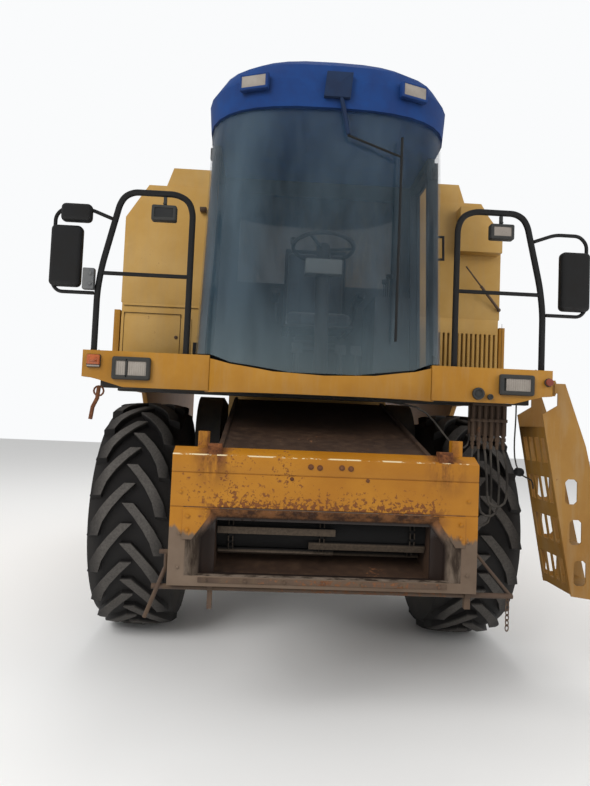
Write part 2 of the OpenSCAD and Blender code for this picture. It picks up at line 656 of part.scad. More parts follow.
drum_y = face_back + 130;
drum_z = 1085;
drum_r = 110;
link_step = 20; // degrees from one chain link to the next round the drum
// Chains over the front drum, with links where they show and slats bolted across two strands, turn about
module feeder_chain() color("#6B6259") placed() {
    x_rod(-feeder_half + 12 + fit_gap, feeder_half - 12 - fit_gap, drum_y, drum_z, drum_r);
    for (x = chain_x) {
        across(x - 12, x + 12, [[drum_y - 30, 1192], [drum_y - 70, 1240], [-520, 1560], [-520, 1480],
            [drum_y + 70, 1180]]);
        for (a = [100:link_step:260]) translate([x, drum_y, drum_z]) rotate([a, 0, 0]) {
            for (side = [-14, 9]) block([side, drum_r - 4, -16], [side + 5, drum_r + 22, 16]);
            rotate([link_step / 2, 0, 0]) block([-11, drum_r - 4, -9], [11, drum_r + 15, 9]);
        }
    }
    for (i = [0:5]) translate([0, drum_y, drum_z]) rotate([110 + 34 * i, 0, 0])
        mirror([i % 2, 0, 0]) block([-560, drum_r + 8, -18], [70, drum_r + 32, 18]);
}

// Latches that lock a header on: a shaft under the face with a hand lever, a park leg and a stay
latch_y = face_y + 60;
latch_z = face_bottom_z - 21;
module header_latch() color(dark_steel) placed() {
    $fn = 20;
    x_rod(-880, 1010, latch_y, latch_z, 14);
    for (x = [-580, 765]) block([x - 14, latch_y - 22, latch_z - 10],
        [x + 14, latch_y + 22, face_bottom_z - fit_gap]);
    block([-592, latch_y - 12, latch_z - 106], [-568, latch_y + 12, latch_z]);
    block([750, latch_y - 16, latch_z - 70], [780, latch_y + 16, latch_z]);
    bar([-812, latch_y - 10, 905], [-907, latch_y - 10, 650], 11);
    bar([-812, latch_y - 10, 895], [-812, latch_y - 10, 995], 9);
    x_rod(-845, -feeder_frame_half - fit_gap, latch_y - 10, 985, 12);
    block([feeder_frame_half + fit_gap, latch_y - 20, 1000], [feeder_frame_half + 12, latch_y + 20, 1050]);
    bar([feeder_frame_half + 8, latch_y, 1028], [1004, latch_y, latch_z], 8);
}

// Lift cylinders

rod_run = rod_y - barrel_y;
rod_rise = rod_z - barrel_z;
lift_len = norm([rod_run, rod_rise]);
lift_angle = atan2(rod_rise, -rod_run);
barrel_len = 880;

// Lays a piece that is drawn along +Z from the barrel's eye along the cylinder
module on_cylinder(side) translate([side * lift_x, barrel_y, barrel_z]) rotate([90 - lift_angle, 0, 0])
    children();

module lift_barrel(side) color(yellow) placed() on_cylinder(side) difference() {
    union() {
        translate([-lift_eye_w / 2, 0, 0]) rotate([0, 90, 0]) cylinder(r = 45, h = lift_eye_w);
        cylinder(r = lift_eye_w / 2, h = 76);
        translate([0, 0, 70]) cylinder(r = lift_barrel_r, h = barrel_len - 70);
    }
    translate([0, 0, 60]) cylinder(r = lift_rod_r + fit_gap, h = barrel_len);
    translate([-lift_eye_w, 0, 0]) rotate([0, 90, 0])
        cylinder(r = lift_pin_r + fit_gap, h = 2 * lift_eye_w);
}
module lift_rod(side) color("#B9B7B2") placed() on_cylinder(side) {
    translate([0, 0, 700]) cylinder(r = lift_rod_r, h = lift_len - 700);
    translate([-lift_eye_w / 2, 0, lift_len]) rotate([0, 90, 0]) cylinder(r = 45, h = lift_eye_w);
}
module lift_barrel_left() lift_barrel(1);
module lift_barrel_right() lift_barrel(-1);
module lift_rod_left() lift_rod(1);
module lift_rod_right() lift_rod(-1);

// Cab

// A bulging front as a plan outline: half width a, start y0, depth d
function nose(a, y0, d) = [for (i = [0:18]) let (c = cos(10 * i), s = sin(10 * i))
    [a * sign(c) * pow(abs(c), 0.72), y0 - d * pow(abs(s), 0.72)]];
function cab_plan(a, front, back) = concat([[-a, -back], [a, -back]],
    nose(a, -screen_side, front - screen_side));

sill_z = cab_floor_z + cab_floor_t;
door_low = platform_z + 12 - sill_z; // door's lower edge above the sill
side_h = roof_under_z - sill_z;
cab_top_half = cab_half - side_h * tan(cab_lean);
pillar = 50;

// A flat side panel drawn in Y and height above the sill, leaning with the cab's side
module on_side(side) translate([side * cab_half, 0, sill_z]) rotate([0, -side * cab_lean, 0])
    mirror([side < 0 ? 1 : 0, 0, 0]) children();

// Half of a door hinge, drawn as on_side() draws: a barrel on the hinge line and a tab
door_pin = [13, -cab_back - 6];
door_hinge_z = [200, 1300];
module door_hinge(z0, z1, low, high) {
    translate([door_pin.x, door_pin.y, z0]) cylinder(r = 12, h = z1 - z0);
    block([low.x, low.y, z0], [high.x, high.y, z1]);
}

module cab_frame() color(dark_steel) placed() {
    on_side(1) for (z = door_hinge_z) door_hinge(z + 60 + fit_gap, z + 110, [-2, door_pin.y - 8],
        [door_pin.x, door_pin.y + 5]);
    translate([0, 0, cab_floor_z]) linear_extrude(cab_floor_t)
        polygon(cab_plan(cab_half - 52, screen_reach - 15, screen_side - 100));
    block([-cab_half, -screen_side, cab_floor_z], [cab_half, -cab_back, sill_z]);
    // rear wall with its window
    difference() {
        along(-cab_back - 30, -cab_back, [[-cab_half, sill_z - 1], [-cab_top_half, roof_under_z - fit_gap],
            [cab_top_half, roof_under_z - fit_gap], [cab_half, sill_z - 1]]);
        block([-600, -cab_back - 40, 2750], [600, -cab_back + 10, 3450]);
    }
    for (s = [-1, 1]) on_side(s) {
        // rear corner, front post and top rail
        across(-pillar, 0, [[-cab_back - 60, -1], [-cab_back - 60, side_h - 4], [-cab_back, side_h - 4],
            [-cab_back, -1]]);
        across(-pillar, 0, [[-screen_side, -1], [-screen_side, side_h - 4],
            [-screen_side + 45, side_h - 4], [-screen_side + 45, -1]]);
        across(-pillar, 0, [[-screen_side, side_h - 70], [-screen_side, side_h - 4],
            [-cab_back, side_h - 4], [-cab_back, side_h - 70]]);
        across(-pillar, 0, [[-screen_side, -1], [-screen_side, door_low - 5], [-cab_back, door_low - 5],
            [-cab_back, -1]]);
    }
}

module roof_slab(a, front, back, z) translate([0, 0, z]) linear_extrude(1)
    polygon(cab_plan(a, front, back));
roof_rows = [ // height, then how far out the roof lies at the sides, front and back
    [roof_under_z, 8, 25, -20], [roof_under_z + 170, 22, 25, -20], [roof_under_z + 270, -50, 5, 10],
    [roof_under_z + 335, -150, -70, 80], [roof_top_z - 1, -300, -220, 220]];
module cab_roof() color(roof_blue) placed() {
    for (i = [0:3]) hull() for (row = [roof_rows[i], roof_rows[i + 1]])
        roof_slab(cab_top_half + row[1], screen_reach + row[2], cab_back + row[3], row[0]);
}

// The windscreen leans in at its sides and follows the apron along its lower edge
module screen_body(t) hull() {
    translate([0, 0, sill_z]) linear_extrude(1)
        polygon(cab_plan(cab_half - t, screen_reach - t, screen_side - 50));
    translate([0, 0, roof_under_z - fit_gap - 1]) linear_extrude(1)
        polygon(cab_plan(cab_top_half - t, screen_reach - t, screen_side - 50));
}
// Its lower edge clears the platform's panels and the apron
function screen_foot(s) = [[s * (cab_half + 9), platform_z + 29], [s * 680, platform_z + 4],
    [s * 560, 2022], [s * 200, 1970]];
module windscreen() color(glass_tint) placed() difference() {
    screen_body(0);
    screen_body(glass_t);
    block([-cab_half, -screen_side - fit_gap, sill_z - 10], [cab_half, 0, roof_under_z]);
    along(-screen_reach - 10, -screen_side + 10,
        concat(screen_foot(-1), [for (i = [3:-1:0]) screen_foot(1)[i]],
        [[cab_half + 9, sill_z - 10], [-cab_half - 9, sill_z - 10]]));
}

window_y = [-screen_side + 45 + fit_gap, -cab_back - 60 - fit_gap];
module cab_windows() color(glass_tint) placed() {
    on_side(-1) across(-30, -30 + glass_t, [[window_y[0], door_low], [window_y[0], side_h - 71],
        [window_y[1], side_h - 71], [window_y[1], door_low]]);
    along(-cab_back - 25, -cab_back - 15, [[-600 + fit_gap, 2750 + fit_gap],
        [-600 + fit_gap, 3450 - fit_gap], [600 - fit_gap, 3450 - fit_gap],
        [600 - fit_gap, 2750 + fit_gap]]);
}

door_gap = 6;
module cab_door() color(dark_steel) placed() on_side(1) {
    difference() {
        across(fit_gap * 4, 26, [[-screen_side + 10, door_low], [-screen_side + 10, side_h - 30],
            [-cab_back - 20, side_h - 30], [-cab_back - 20, door_low]]);
        across(0, 30, [[-screen_side + 55, door_low + 50], [-screen_side + 55, side_h - 80],
            [-cab_back - 65, side_h - 80], [-cab_back - 65, door_low + 50]]);
    }
    tube([[24, -screen_side + 32, 900], [70, -screen_side + 32, 900], [70, -screen_side + 32, 1060],
        [24, -screen_side + 32, 1060]], 9, [0, 1, 0], 8);
    for (z = door_hinge_z) door_hinge(z, z + 60, [1.5, -cab_back - 30], door_pin);
}
module door_glass() color(glass_tint) placed() on_side(1)
    across(8, 8 + glass_t, [[-screen_side + 55 + fit_gap, door_low + 50 + fit_gap],
        [-screen_side + 55 + fit_gap, side_h - 80 - fit_gap],
        [-cab_back - 65 - fit_gap, side_h - 80 - fit_gap],
        [-cab_back - 65 - fit_gap, door_low + 50 + fit_gap]]);

module wiper() color("#222222") placed() {
    along(-screen_reach - 52, -screen_reach - 25 - fit_gap,
        [[-60, roof_under_z + 60], [-45, roof_under_z + 200], [95, roof_under_z + 200],
        [85, roof_under_z + 60]]);
    tube([[30, -screen_reach - 40, roof_under_z + 70], [90, -screen_reach - 35, 3400],
        [420, -screen_reach - 6, 3300]], 7);
    bar([420, -screen_reach - 6, 3420], [420, -screen_reach - 6, 2180], 8);
}

module seat() color("#3B3E45") placed() {
    block([-150, -900, sill_z + fit_gap], [150, -650, 2330]);
    block([-260, -1080, 2330], [260, -560, 2450]);
    across(-250, 250, [[-640, 2450], [-560, 2450], [-510, 3020], [-580, 3040]]);
    both() block([270, -1000, 2560], [330, -640, 2610]);
    both() block([255, -720, 2400], [300, -660, 2570]);
}

module steering_column() color("#2A2A2A") placed() {
    tube([[0, -1330, sill_z + fit_gap], [0, -1330, 2100], [0, -1230, 2810]], 45, [1, 0, 0]);
    translate([0, -1222, 2840]) rotate([-12, 0, 0]) {
        rotate_extrude() translate([200, 0]) circle(r = 14, $fn = 24);
        for (a = [0:120:359]) rotate([0, 0, a]) bar([0, 0, -15], [200, 0, 0], 10);
        translate([0, 0, -40]) cylinder(r = 45, h = 45);
    }
    block([380, -1100, sill_z + fit_gap], [620, -560, 2560]);
}

// Platform, its panels, rails, mirrors and lamps

module deck() color(dark_steel) placed() {
    both() {
        block([cab_half + 8, -panel_front + 45 + fit_gap, platform_z - 30],
            [panel_half - 10, -body_front - fit_gap, platform_z]);
        for (y = [-1250, -800]) block([cab_half + 20, y, 1850], [panel_half - 60, y + 60, platform_z - 28]);
        block([440, -1400, 1866], [500, -body_front + sheet - fit_gap, cab_floor_z - fit_gap]);
    }
    for (y = [-1250, -800]) block([-panel_half + 60, y, 1850],
        [panel_half - 60, y + 60, cab_floor_z - fit_gap]);
}

ladder_pin = [panel_half + 30, -panel_front + 59];
apron_line = [[-800, 2085], [-700, 2050], [-560, 2010], [-300, 1968], [0, 1955], [300, 1968], [560, 2010],
    [700, 2050], [800, 2085]];
module front_panels() color(yellow) placed() {
    both() {
        along(-panel_front, -panel_front + 45, [[cab_half - 130, panel_low_z],
            [cab_half - 130, platform_z], [panel_half, platform_z],
            [panel_half, panel_low_z + 55], [1400, panel_low_z + 50], [1215, panel_low_z]]);
        block([panel_half - 9, -panel_front + 44, panel_low_z + 60],
            [panel_half, -body_front - 10, platform_z]);
    }
    // hinge pin of the ladder
    for (z = [1910, 2000]) block([panel_half - 5, ladder_pin.y - 12, z],
        [ladder_pin.x + 12, ladder_pin.y + 12, z + 10]);
    translate([ladder_pin.x, ladder_pin.y, 1910]) cylinder(r = 12, h = 100);
    // apron below the windscreen, curved with the cab
    difference() {
        translate([0, 0, panel_low_z - 8]) linear_extrude(250)
            polygon(cab_plan(cab_half - 30, screen_reach + 40, 900));
        translate([0, 0, panel_low_z - 20]) linear_extrude(300)
            polygon(cab_plan(cab_half - 50, screen_reach + fit_gap, 800));
        block([-900, -panel_front + 40, panel_low_z - 50], [900, -700, 2300]);
        along(-screen_reach - 60, -1300, concat(apron_line, [[900, 2200], [-900, 2200]]));
    }
}

module lamp_box(x, y, z, w, h, d) block([x - w / 2, y - d, z - h / 2], [x + w / 2, y, z + h / 2]);
module lamps() color("#D8D8D0") placed() {
    lamp_box(-1160, -panel_front - fit_gap, 1962, 235, 140, 30);
    lamp_box(1225, -panel_front - fit_gap, 1965, 225, 130, 30);
    lamp_box(-1390, -panel_front - fit_gap, 2000, 84, 80, 25);
    translate([1432, -panel_front - fit_gap, 1990]) rotate([90, 0, 0]) cylinder(r = 27, h = 30);
    both() translate([480, -screen_reach + 31.8, 0]) rotate([0, 0, 20]) lamp_box(0, 0, 3715, 170, 90, 40);
    both() block([1250, shield_rear + fit_gap, deck_line_z - 60],
        [1400, shield_rear + 40, deck_line_z + sheet]);
    for (x = [-1020, 1125]) {
        lamp_box(x, rail_y + 20, 2945, 155, 100, 60);
        block([x - 10, rail_y - 10, 2990], [x + 10, rail_y + 10, rail_top_z - rail_r - fit_gap]);
    }
}

rail_y = -1400;
post_in = 845;
post_out = 1410;
module handrails() color("#1C1C1E") placed() both() {
    tube([[post_in, rail_y, platform_z + fit_gap], [post_in, rail_y, rail_top_z - 110],
        [post_in + 30, rail_y, rail_top_z - 35], [post_in + 105, rail_y, rail_top_z],
        [1215, rail_y, rail_top_z], [1270, rail_y, rail_top_z - 28], [1300, rail_y, rail_top_z - 80],
            [post_out - 20, rail_y, 2600], [post_out, rail_y, 2440],
            [post_out, rail_y, platform_z + fit_gap]], rail_r);
    bar([post_in, rail_y, 2555], [post_out - 5, rail_y, 2555], 14);
}

// A mirror's shell with round corners, its front at y
module mirror_head(x, y, z, w, h, d) translate([x, y + d, z]) rotate([90, 0, 0]) linear_extrude(d)
    offset(r = 30, $fn = 32) square([w - 60, h - 60], center = true);
module mirrors() color("#1A1A1C") placed() {
    both() {
        tube([[post_out - 66, rail_y, 2900], [1480, rail_y - 5, 2950],
            [mirror_reach - 60, rail_y - 5, 2950], [mirror_reach - 12, rail_y - 5, 2900],
            [mirror_reach - 12, rail_y - 5, 2470],
            [mirror_reach - 50, rail_y - 5, 2425], [post_out + rail_r + fit_gap, rail_y - 5, 2425]], 12);
        mirror_head(mirror_reach - 95, rail_y - 55, 2645, 190, 380, 80);
    }
    mirror_head(-1555, rail_y - 50, 2918, 190, 115, 70);
}

// Swinging ladder beside the platform

ladder_y0 = rail_y - 20; // outside of the front side plate
ladder_lean = 0.18; // outward run for each unit of drop
function ladder_back(z) = 1405 + ladder_lean * (1850 - z); // back edge of a side plate
slot_pitch = (ladder_w - 46) / 4;
module ladder() color(yellow) placed() {
    for (y = [ladder_y0, ladder_y0 + ladder_w - 8]) difference() {
        along(y, y + 8, [[ladder_back(ladder_foot_z), ladder_foot_z + 20],
            [ladder_reach, ladder_foot_z - 20], [1700, 1600], [1560, 1990], [ladder_pin.x, 1990],
            [ladder_pin.x, 1927], [ladder_pin.x + 22, 1927], [ladder_pin.x + 22, 1850],
            [ladder_back(1790), 1790]]);
        for (i = [0:2]) translate([1675 - 32 * i, 0, 804 + i * step_pitch])
            along(y - 1, y + 9, [[-39, -60], [-39, 60], [-21, 78], [21, 78], [39, 60], [39, -60],
            [21, -78], [-21, -78]]);
    }
    for (i = [0:4]) let (z = ladder_foot_z + 30 + i * step_pitch)
        block([ladder_back(z) + 2, ladder_y0 + 7, z],
            [ladder_back(z) + 240 - 30 * i, ladder_y0 + ladder_w - 7, z + 30]);
    y_rod(ladder_y0, ladder_y0 + ladder_w, 1530, 1960, 18);
    // slotted sheet behind the steps
    difference() {
        along(ladder_y0 + 7, ladder_y0 + ladder_w - 7, [for (p = [[0, 40], [6, 40], [6, 1060], [0, 1060]])
            [ladder_back(ladder_foot_z + p.y) + p.x, ladder_foot_z + p.y]]);
        for (i = [0:3], j = [0:3]) let (y = ladder_y0 + 30 + slot_pitch * j,
            z = ladder_foot_z + 85 + i * step_pitch)
            block([1300, y, z], [1800, y + slot_pitch - 28, z + 160]);
    }
    difference() {
        translate([ladder_pin.x, ladder_pin.y, 1920 + fit_gap]) cylinder(r = 20, h = 80 - 2 * fit_gap);
        translate([ladder_pin.x, ladder_pin.y, 1900]) cylinder(r = 12 + fit_gap, h = 120);
    }
}

// Steel pipes and their manifold in front of the left wheel
pipe_r = 12;
pipe_y = -1182;
pipe_line = [for (i = [0:5]) 1050 + 42 * i];
pipe_end = 1590;
module hydraulic_pipes() color("#7A4A34") placed() {
    for (x = pipe_line) tube([[x, pipe_y, 1845], [x, pipe_y, pipe_end + 120], [x, pipe_y, pipe_end]],
        pipe_r, [1, 0, 0], 8);
    // hanger under the platform
    block([pipe_line[0] - 25, -1250, 1840], [pipe_line[5] + 25, pipe_y + pipe_r + 11, 1850 - fit_gap]);
    block([pipe_line[0] - 25, pipe_y + pipe_r - 1, 1640],
        [pipe_line[5] + 25, pipe_y + pipe_r + 11, 1850 - fit_gap]);
}

// Hoses that hang from the pipes in loops, a cable under the cab and a lamp cable with its plug
hose_r = 8;
hose_inner_line = [
    [1050, -1182, 1589.6], [1050, -1184, 1545], [1047, -1188, 1484], [1044, -1193, 1388],
    [1043, -1198, 1282], [1046, -1198, 1175], [1050, -1198, 1108], [1062, -1198, 1071],
    [1094, -1198, 1048], [1132, -1198, 1048], [1164, -1198, 1071], [1176, -1198, 1108],
    [1179, -1198, 1175], [1181, -1198, 1282], [1180, -1193, 1388], [1177, -1188, 1484],
    [1176, -1184, 1545], [1176, -1182, 1589.6]];
hose_middle_line = [
    [1092, -1182, 1589.6], [1092, -1184, 1545], [1089, -1199, 1499], [1086, -1215, 1416],
    [1085, -1228, 1324], [1088, -1228, 1233], [1092, -1228, 1175], [1104, -1228, 1138],
    [1136, -1228, 1115], [1174, -1228, 1115], [1206, -1228, 1138], [1218, -1228, 1175],
    [1221, -1228, 1233], [1223, -1228, 1324], [1222, -1215, 1416], [1219, -1199, 1499],
    [1218, -1184, 1545], [1218, -1182, 1589.6]];
hose_outer_line = [
    [1134, -1182, 1589.6], [1134, -1184, 1545], [1131, -1210, 1513], [1128, -1236, 1443],
    [1127, -1258, 1367], [1130, -1258, 1290], [1134, -1258, 1241], [1146, -1258, 1204],
    [1178, -1258, 1181], [1216, -1258, 1181], [1248, -1258, 1204], [1260, -1258, 1241],
    [1263, -1258, 1290], [1265, -1258, 1367], [1264, -1236, 1443], [1261, -1210, 1513],
    [1260, -1184, 1545], [1260, -1182, 1589.6]];
cab_cable_line = [
    [100, -1400, 1899.6], [101, -1400, 1886], [112, -1400, 1872], [160, -1399, 1858],
    [240, -1398, 1848], [340, -1396, 1838], [440, -1393, 1828], [540, -1388, 1818], [620, -1380, 1802],
    [690, -1366, 1766], [750, -1346, 1712], [810, -1318, 1648], [870, -1284, 1592], [930, -1250, 1560],
    [982, -1222, 1556], [1010, -1201, 1574], [1024, -1187, 1606], [1030, -1179, 1650]];
plug_cable_line = [
    [1330, -1215, 1849.6], [1330, -1215, 1800], [1329, -1214, 1740], [1327, -1213, 1680],
    [1325, -1212, 1620], [1326, -1210, 1560], [1331, -1208, 1505], [1343, -1206, 1455],
    [1363, -1205, 1408], [1385, -1204, 1388], [1408, -1203, 1376], [1430, -1202, 1367],
    [1448, -1201, 1357], [1458, -1200, 1342], [1462, -1200, 1322], [1463, -1200, 1300]];
module hose(line, r) color(rubber) placed() tube(line, r, [0.2, 1, 0.1], 8);
module hose_inner() hose(hose_inner_line, hose_r);
module hose_middle() hose(hose_middle_line, hose_r);
module hose_outer() hose(hose_outer_line, hose_r);
module cab_cable() hose(cab_cable_line, 6);
module plug_cable() {
    hose(plug_cable_line, 5);
    color(rubber) placed() y_rod(-1235, -1178, plug_cable_line[8].x, plug_cable_line[8].z, 28);
}

// Guards over the belt drives on both sides of the threshing body
module drive_guards() color(dark_steel) placed() both()
    translate([core_half + 60 + fit_gap, 0, 0]) rotate([90, 0, 90]) linear_extrude(200) hull() {
        translate([110, 1520]) circle(r = 345);
        translate([820, 1560]) circle(r = 250);
    }

// Unloading tube, folded back along the machine
module unloading_auger() color(yellow) placed() {
    y_rod(50, auger_len, auger_x, auger_z, auger_r);
    for (y = [330, 1750, 3350]) y_rod(y, y + 16, auger_x, auger_z, auger_r + 12);
    translate([auger_x, 50, auger_z - auger_r - 50 + fit_gap]) cylinder(r = auger_r - 10, h = auger_r + 50);
    translate([auger_x, 50, auger_z]) sphere(r = auger_r);
    along(auger_len - 5, auger_len + 200, [[auger_x - 150, auger_z - 260], [auger_x - 150, auger_z + 120],
        [auger_x + 150, auger_z + 120], [auger_x + 150, auger_z - 260]]);
}

// A tank cover, hinged along its outer edge
module tank_cover(side) color(pale_yellow) placed() mirror([side < 0 ? 1 : 0, 0, 0]) {
    difference() {
        along(-body_front + 10, tank_rear - 10,
            [[2, cover_top_z], [tank_side_out - 55, cover_top_z], [tank_side_out - 5, tank_top_z + 2],
            [2, tank_top_z + 2]]);
        along(-body_front + 30, tank_rear - 30,
            [[-20, cover_top_z - sheet], [tank_side_out - 70, cover_top_z - sheet],
            [tank_side_out - 30, tank_top_z - 2], [-20, tank_top_z - 2]]);
    }
    for (y = [0, 1500]) lid_hinge(y, y + 60, [-40, -8], [0, 10]);
}
module tank_cover_left() tank_cover(1);
module tank_cover_right() tank_cover(-1);

chassis();
drive_axle();
threshing_body();
cleaning_shoe();
grain_tank();
front_bulkhead();
engine_hood();
engine_block();
straw_hood();
straw_chopper();
deck();
front_panels();
lamps();
handrails();
mirrors();
cab_frame();
cab_roof();
windscreen();
cab_windows();
wiper();
seat();
steering_column();
hydraulic_pipes();
feeder_housing();
feeder_face();
feeder_chain();
lift_barrel_left();
lift_barrel_right();
lift_rod_left();
lift_rod_right();
front_tyre_left();
front_tyre_right();
front_rim_left();
front_rim_right();
rear_axle_beam();
knuckle_left();
knuckle_right();
rear_tyre_left();
rear_tyre_right();
rear_rim_left();
rear_rim_right();
cab_door();
door_glass();
ladder();
unloading_auger();
tank_cover_left();
tank_cover_right();
side_shield_left();
side_shield_right();
radiator_screen();
chopper_deflector();
header_latch();
drive_guards();
hose_inner();
hose_middle();
hose_outer();
cab_cable();
plug_cable();
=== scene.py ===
"""Dresses a combine harvester's solids with finishes, soft parts and small fittings, and lights one view."""

import logging
import math
from collections.abc import Callable
from dataclasses import dataclass, field
from enum import Enum

import bmesh
import bpy
from mathutils import Matrix, Vector


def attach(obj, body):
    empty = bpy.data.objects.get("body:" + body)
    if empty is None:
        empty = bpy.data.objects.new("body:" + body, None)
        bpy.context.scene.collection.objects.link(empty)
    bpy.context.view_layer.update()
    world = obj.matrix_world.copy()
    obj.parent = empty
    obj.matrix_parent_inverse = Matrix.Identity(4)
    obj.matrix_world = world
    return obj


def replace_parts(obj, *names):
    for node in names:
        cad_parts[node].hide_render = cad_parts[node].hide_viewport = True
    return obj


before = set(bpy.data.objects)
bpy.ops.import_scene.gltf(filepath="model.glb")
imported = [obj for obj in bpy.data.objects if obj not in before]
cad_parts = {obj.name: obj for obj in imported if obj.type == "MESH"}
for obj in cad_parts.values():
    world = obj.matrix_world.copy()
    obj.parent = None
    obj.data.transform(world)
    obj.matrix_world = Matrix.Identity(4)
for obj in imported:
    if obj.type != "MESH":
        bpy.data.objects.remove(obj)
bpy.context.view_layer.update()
LOG = logging.getLogger("combine")

Point = tuple[float, float, float]
Points = tuple[Point, ...]
Pairs = tuple[tuple[float, float], ...]
Socket = bpy.types.NodeSocket
Piece = bpy.types.Object
Source = Socket | bpy.types.Node
MM = 0.001
# The solids' origin lies this far left of and behind the middle of the drive axle, in metres
MIDDLE = Vector((0.115, 2.0, 0.0))
DRIVE_RADIUS, STEER_RADIUS = 0.895, 0.635
STEER_AXLE_Y = 3.6
# The way that the machine faces, the way up and the way to its left, and the angle over which an edge stays sharp
FRONT, UP, LEFT = Vector((0.0, -1.0, 0.0)), Vector((0.0, 0.0, 1.0)), Vector((1.0, 0.0, 0.0))
SHARP = math.radians(40)


def place(x: float, y: float, z: float) -> Vector:
    """Turns a point measured from the middle of the drive axle on the ground into the solids' frame.

    Args:
        x: Metres to the machine's left.
        y: Metres behind the drive axle.
        z: Metres above the ground.

    Returns:
        The point in the solids' frame.
    """
    return Vector((x, y, z)) - MIDDLE


def linear(code: str) -> tuple[float, float, float, float]:
    """Turns an sRGB hex colour into linear values.

    Args:
        code: Six hex digits after a hash sign.

    Returns:
        Red, green, blue and an alpha of 1.
    """
    parts = [int(code[i : i + 2], 16) / 255 for i in (1, 3, 5)]
    red, green, blue = (c / 12.92 if c <= 0.04045 else ((c + 0.055) / 1.055) ** 2.4 for c in parts)
    return red, green, blue, 1.0


def add_node(
        tree: bpy.types.NodeTree, kind: str, settings: dict | None = None,
        links: dict | None = None) -> bpy.types.Node:
    """Adds a shader node with its settings and links.

    Args:
        tree: The node tree that gets it.
        kind: The node's type name after "ShaderNode".
        settings: Values by property name, or by input name or number. Under "stops", a colour ramp's
            places and hex colours.
        links: Sockets by the name or number of the input that they feed. A node stands for its first output.

    Returns:
        The new node.
    """
    node = tree.nodes.new("ShaderNode" + kind)
    for key, value in (settings or {}).items():
        if key == "stops":
            for stop, (at, code) in zip(node.color_ramp.elements, value):
                stop.position, stop.color = at, linear(code)
        elif isinstance(key, str) and key in node.bl_rna.properties:
            setattr(node, key, value)
        else:
            node.inputs[key].default_value = value
    for key, source in (links or {}).items():
        if isinstance(source, bpy.types.Node):
            source = next(output for output in source.outputs if output.enabled)
        tree.links.new(source, node.inputs[key])
    return node


def blank_material(name: str) -> tuple[bpy.types.Material, bpy.types.NodeTree, Socket]:
    """Starts a material whose patterns read Object coordinates.

    Args:
        name: The material's name.

    Returns:
        The material, its cleared node tree, and the socket of the coordinates.
    """
    made = bpy.data.materials.new(name)
    made.use_nodes = True
    made.node_tree.nodes.clear()
    return made, made.node_tree, add_node(made.node_tree, "TexCoord").outputs["Object"]


class Wear(Enum):
    """How hard a painted surface has been used."""

    KEPT = "kept"
    WORKED = "worked"
    SCRAPED = "scraped"


# Share of the paint that has gone to rust, and depth of the dust, for each kind of wear
RUST_SHARE = {Wear.KEPT: 0.0, Wear.WORKED: 0.02, Wear.SCRAPED: 0.16}
DUST_SHARE = {Wear.KEPT: 0.10, Wear.WORKED: 0.22, Wear.SCRAPED: 0.30}


@dataclass(frozen=True)
class Enamel:
    """Sprayed machinery enamel on steel sheet: a soft gloss, dust in streaks, and rust where it is scraped off."""

    name: str
    colour: str
    faded: str
    dust: str = "#A08A6A"
    rust: str = "#4A2A1C"
    old_rust: str = "#7A5236"
    wear: Wear = Wear.WORKED
    roughness: float = 0.38
    rust_roughness: float = 0.85
    streak_mm: float = 55.0
    streak_squash: float = 0.13  # how much slower the streaks change upwards than across
    patch_mm: float = 420.0
    chip_mm: float = 26.0
    sound_paint: float = 0.40  # value of the chips' pattern under which no paint is lost, without any wear
    rust_reach: float = 0.62  # how far that value falls as the share of rust goes to 1
    chip_edge: float = 0.035

    def build(self) -> bpy.types.Material:
        """Makes the material.

        Returns:
            The material, which reads Object coordinates only.
        """
        made, tree, spot = blank_material(self.name)
        upright = add_node(tree, "Mapping", {"Scale": (1.0, 1.0, self.streak_squash)}, {"Vector": spot})
        patterns = (
            (self.patch_mm, 5.0, 0.6, spot), (self.streak_mm, 6.0, 0.65, upright), (self.chip_mm, 8.0, 0.72, spot))
        patch, streak, chip = (
            add_node(tree, "TexNoise", {"Scale": 1000 / size, "Detail": detail, "Roughness": rough}, {"Vector": grid})
            for size, detail, rough, grid in patterns)
        tone = add_node(tree, "ValToRGB", {"stops": ((0.38, self.colour), (0.66, self.faded))}, {"Fac": patch})
        dirt = add_node(
            tree, "MapRange", {"From Min": 0.46, "From Max": 0.72, "To Max": DUST_SHARE[self.wear] * 2},
            {"Value": streak})
        dusted = add_node(tree, "Mix", {"data_type": "RGBA", 7: linear(self.dust)}, {0: dirt, 6: tone})
        both = add_node(tree, "Math", {"operation": "MULTIPLY"}, {0: chip, 1: patch})
        edge = self.sound_paint - RUST_SHARE[self.wear] * self.rust_reach
        bare = add_node(tree, "MapRange", {"From Min": edge, "From Max": edge + self.chip_edge}, {"Value": both})
        rusty = add_node(tree, "ValToRGB", {"stops": ((0.40, self.rust), (0.62, self.old_rust))}, {"Fac": chip})
        skin = add_node(tree, "Mix", {"data_type": "RGBA"}, {0: bare, 6: dusted, 7: rusty})
        matte = add_node(tree, "MapRange", {"To Min": self.roughness, "To Max": self.rust_roughness}, {"Value": bare})
        dull = add_node(tree, "Math", {"operation": "MULTIPLY_ADD", 1: 0.35}, {0: dirt, 2: matte})
        orange_peel = add_node(tree, "Bump", {"Strength": 0.12, "Distance": 0.002}, {"Height": chip})
        shader = add_node(
            tree, "BsdfPrincipled", {"IOR": 1.5}, {"Base Color": skin, "Roughness": dull, "Normal": orange_peel})
        add_node(tree, "OutputMaterial", {}, {"Surface": shader})
        return made


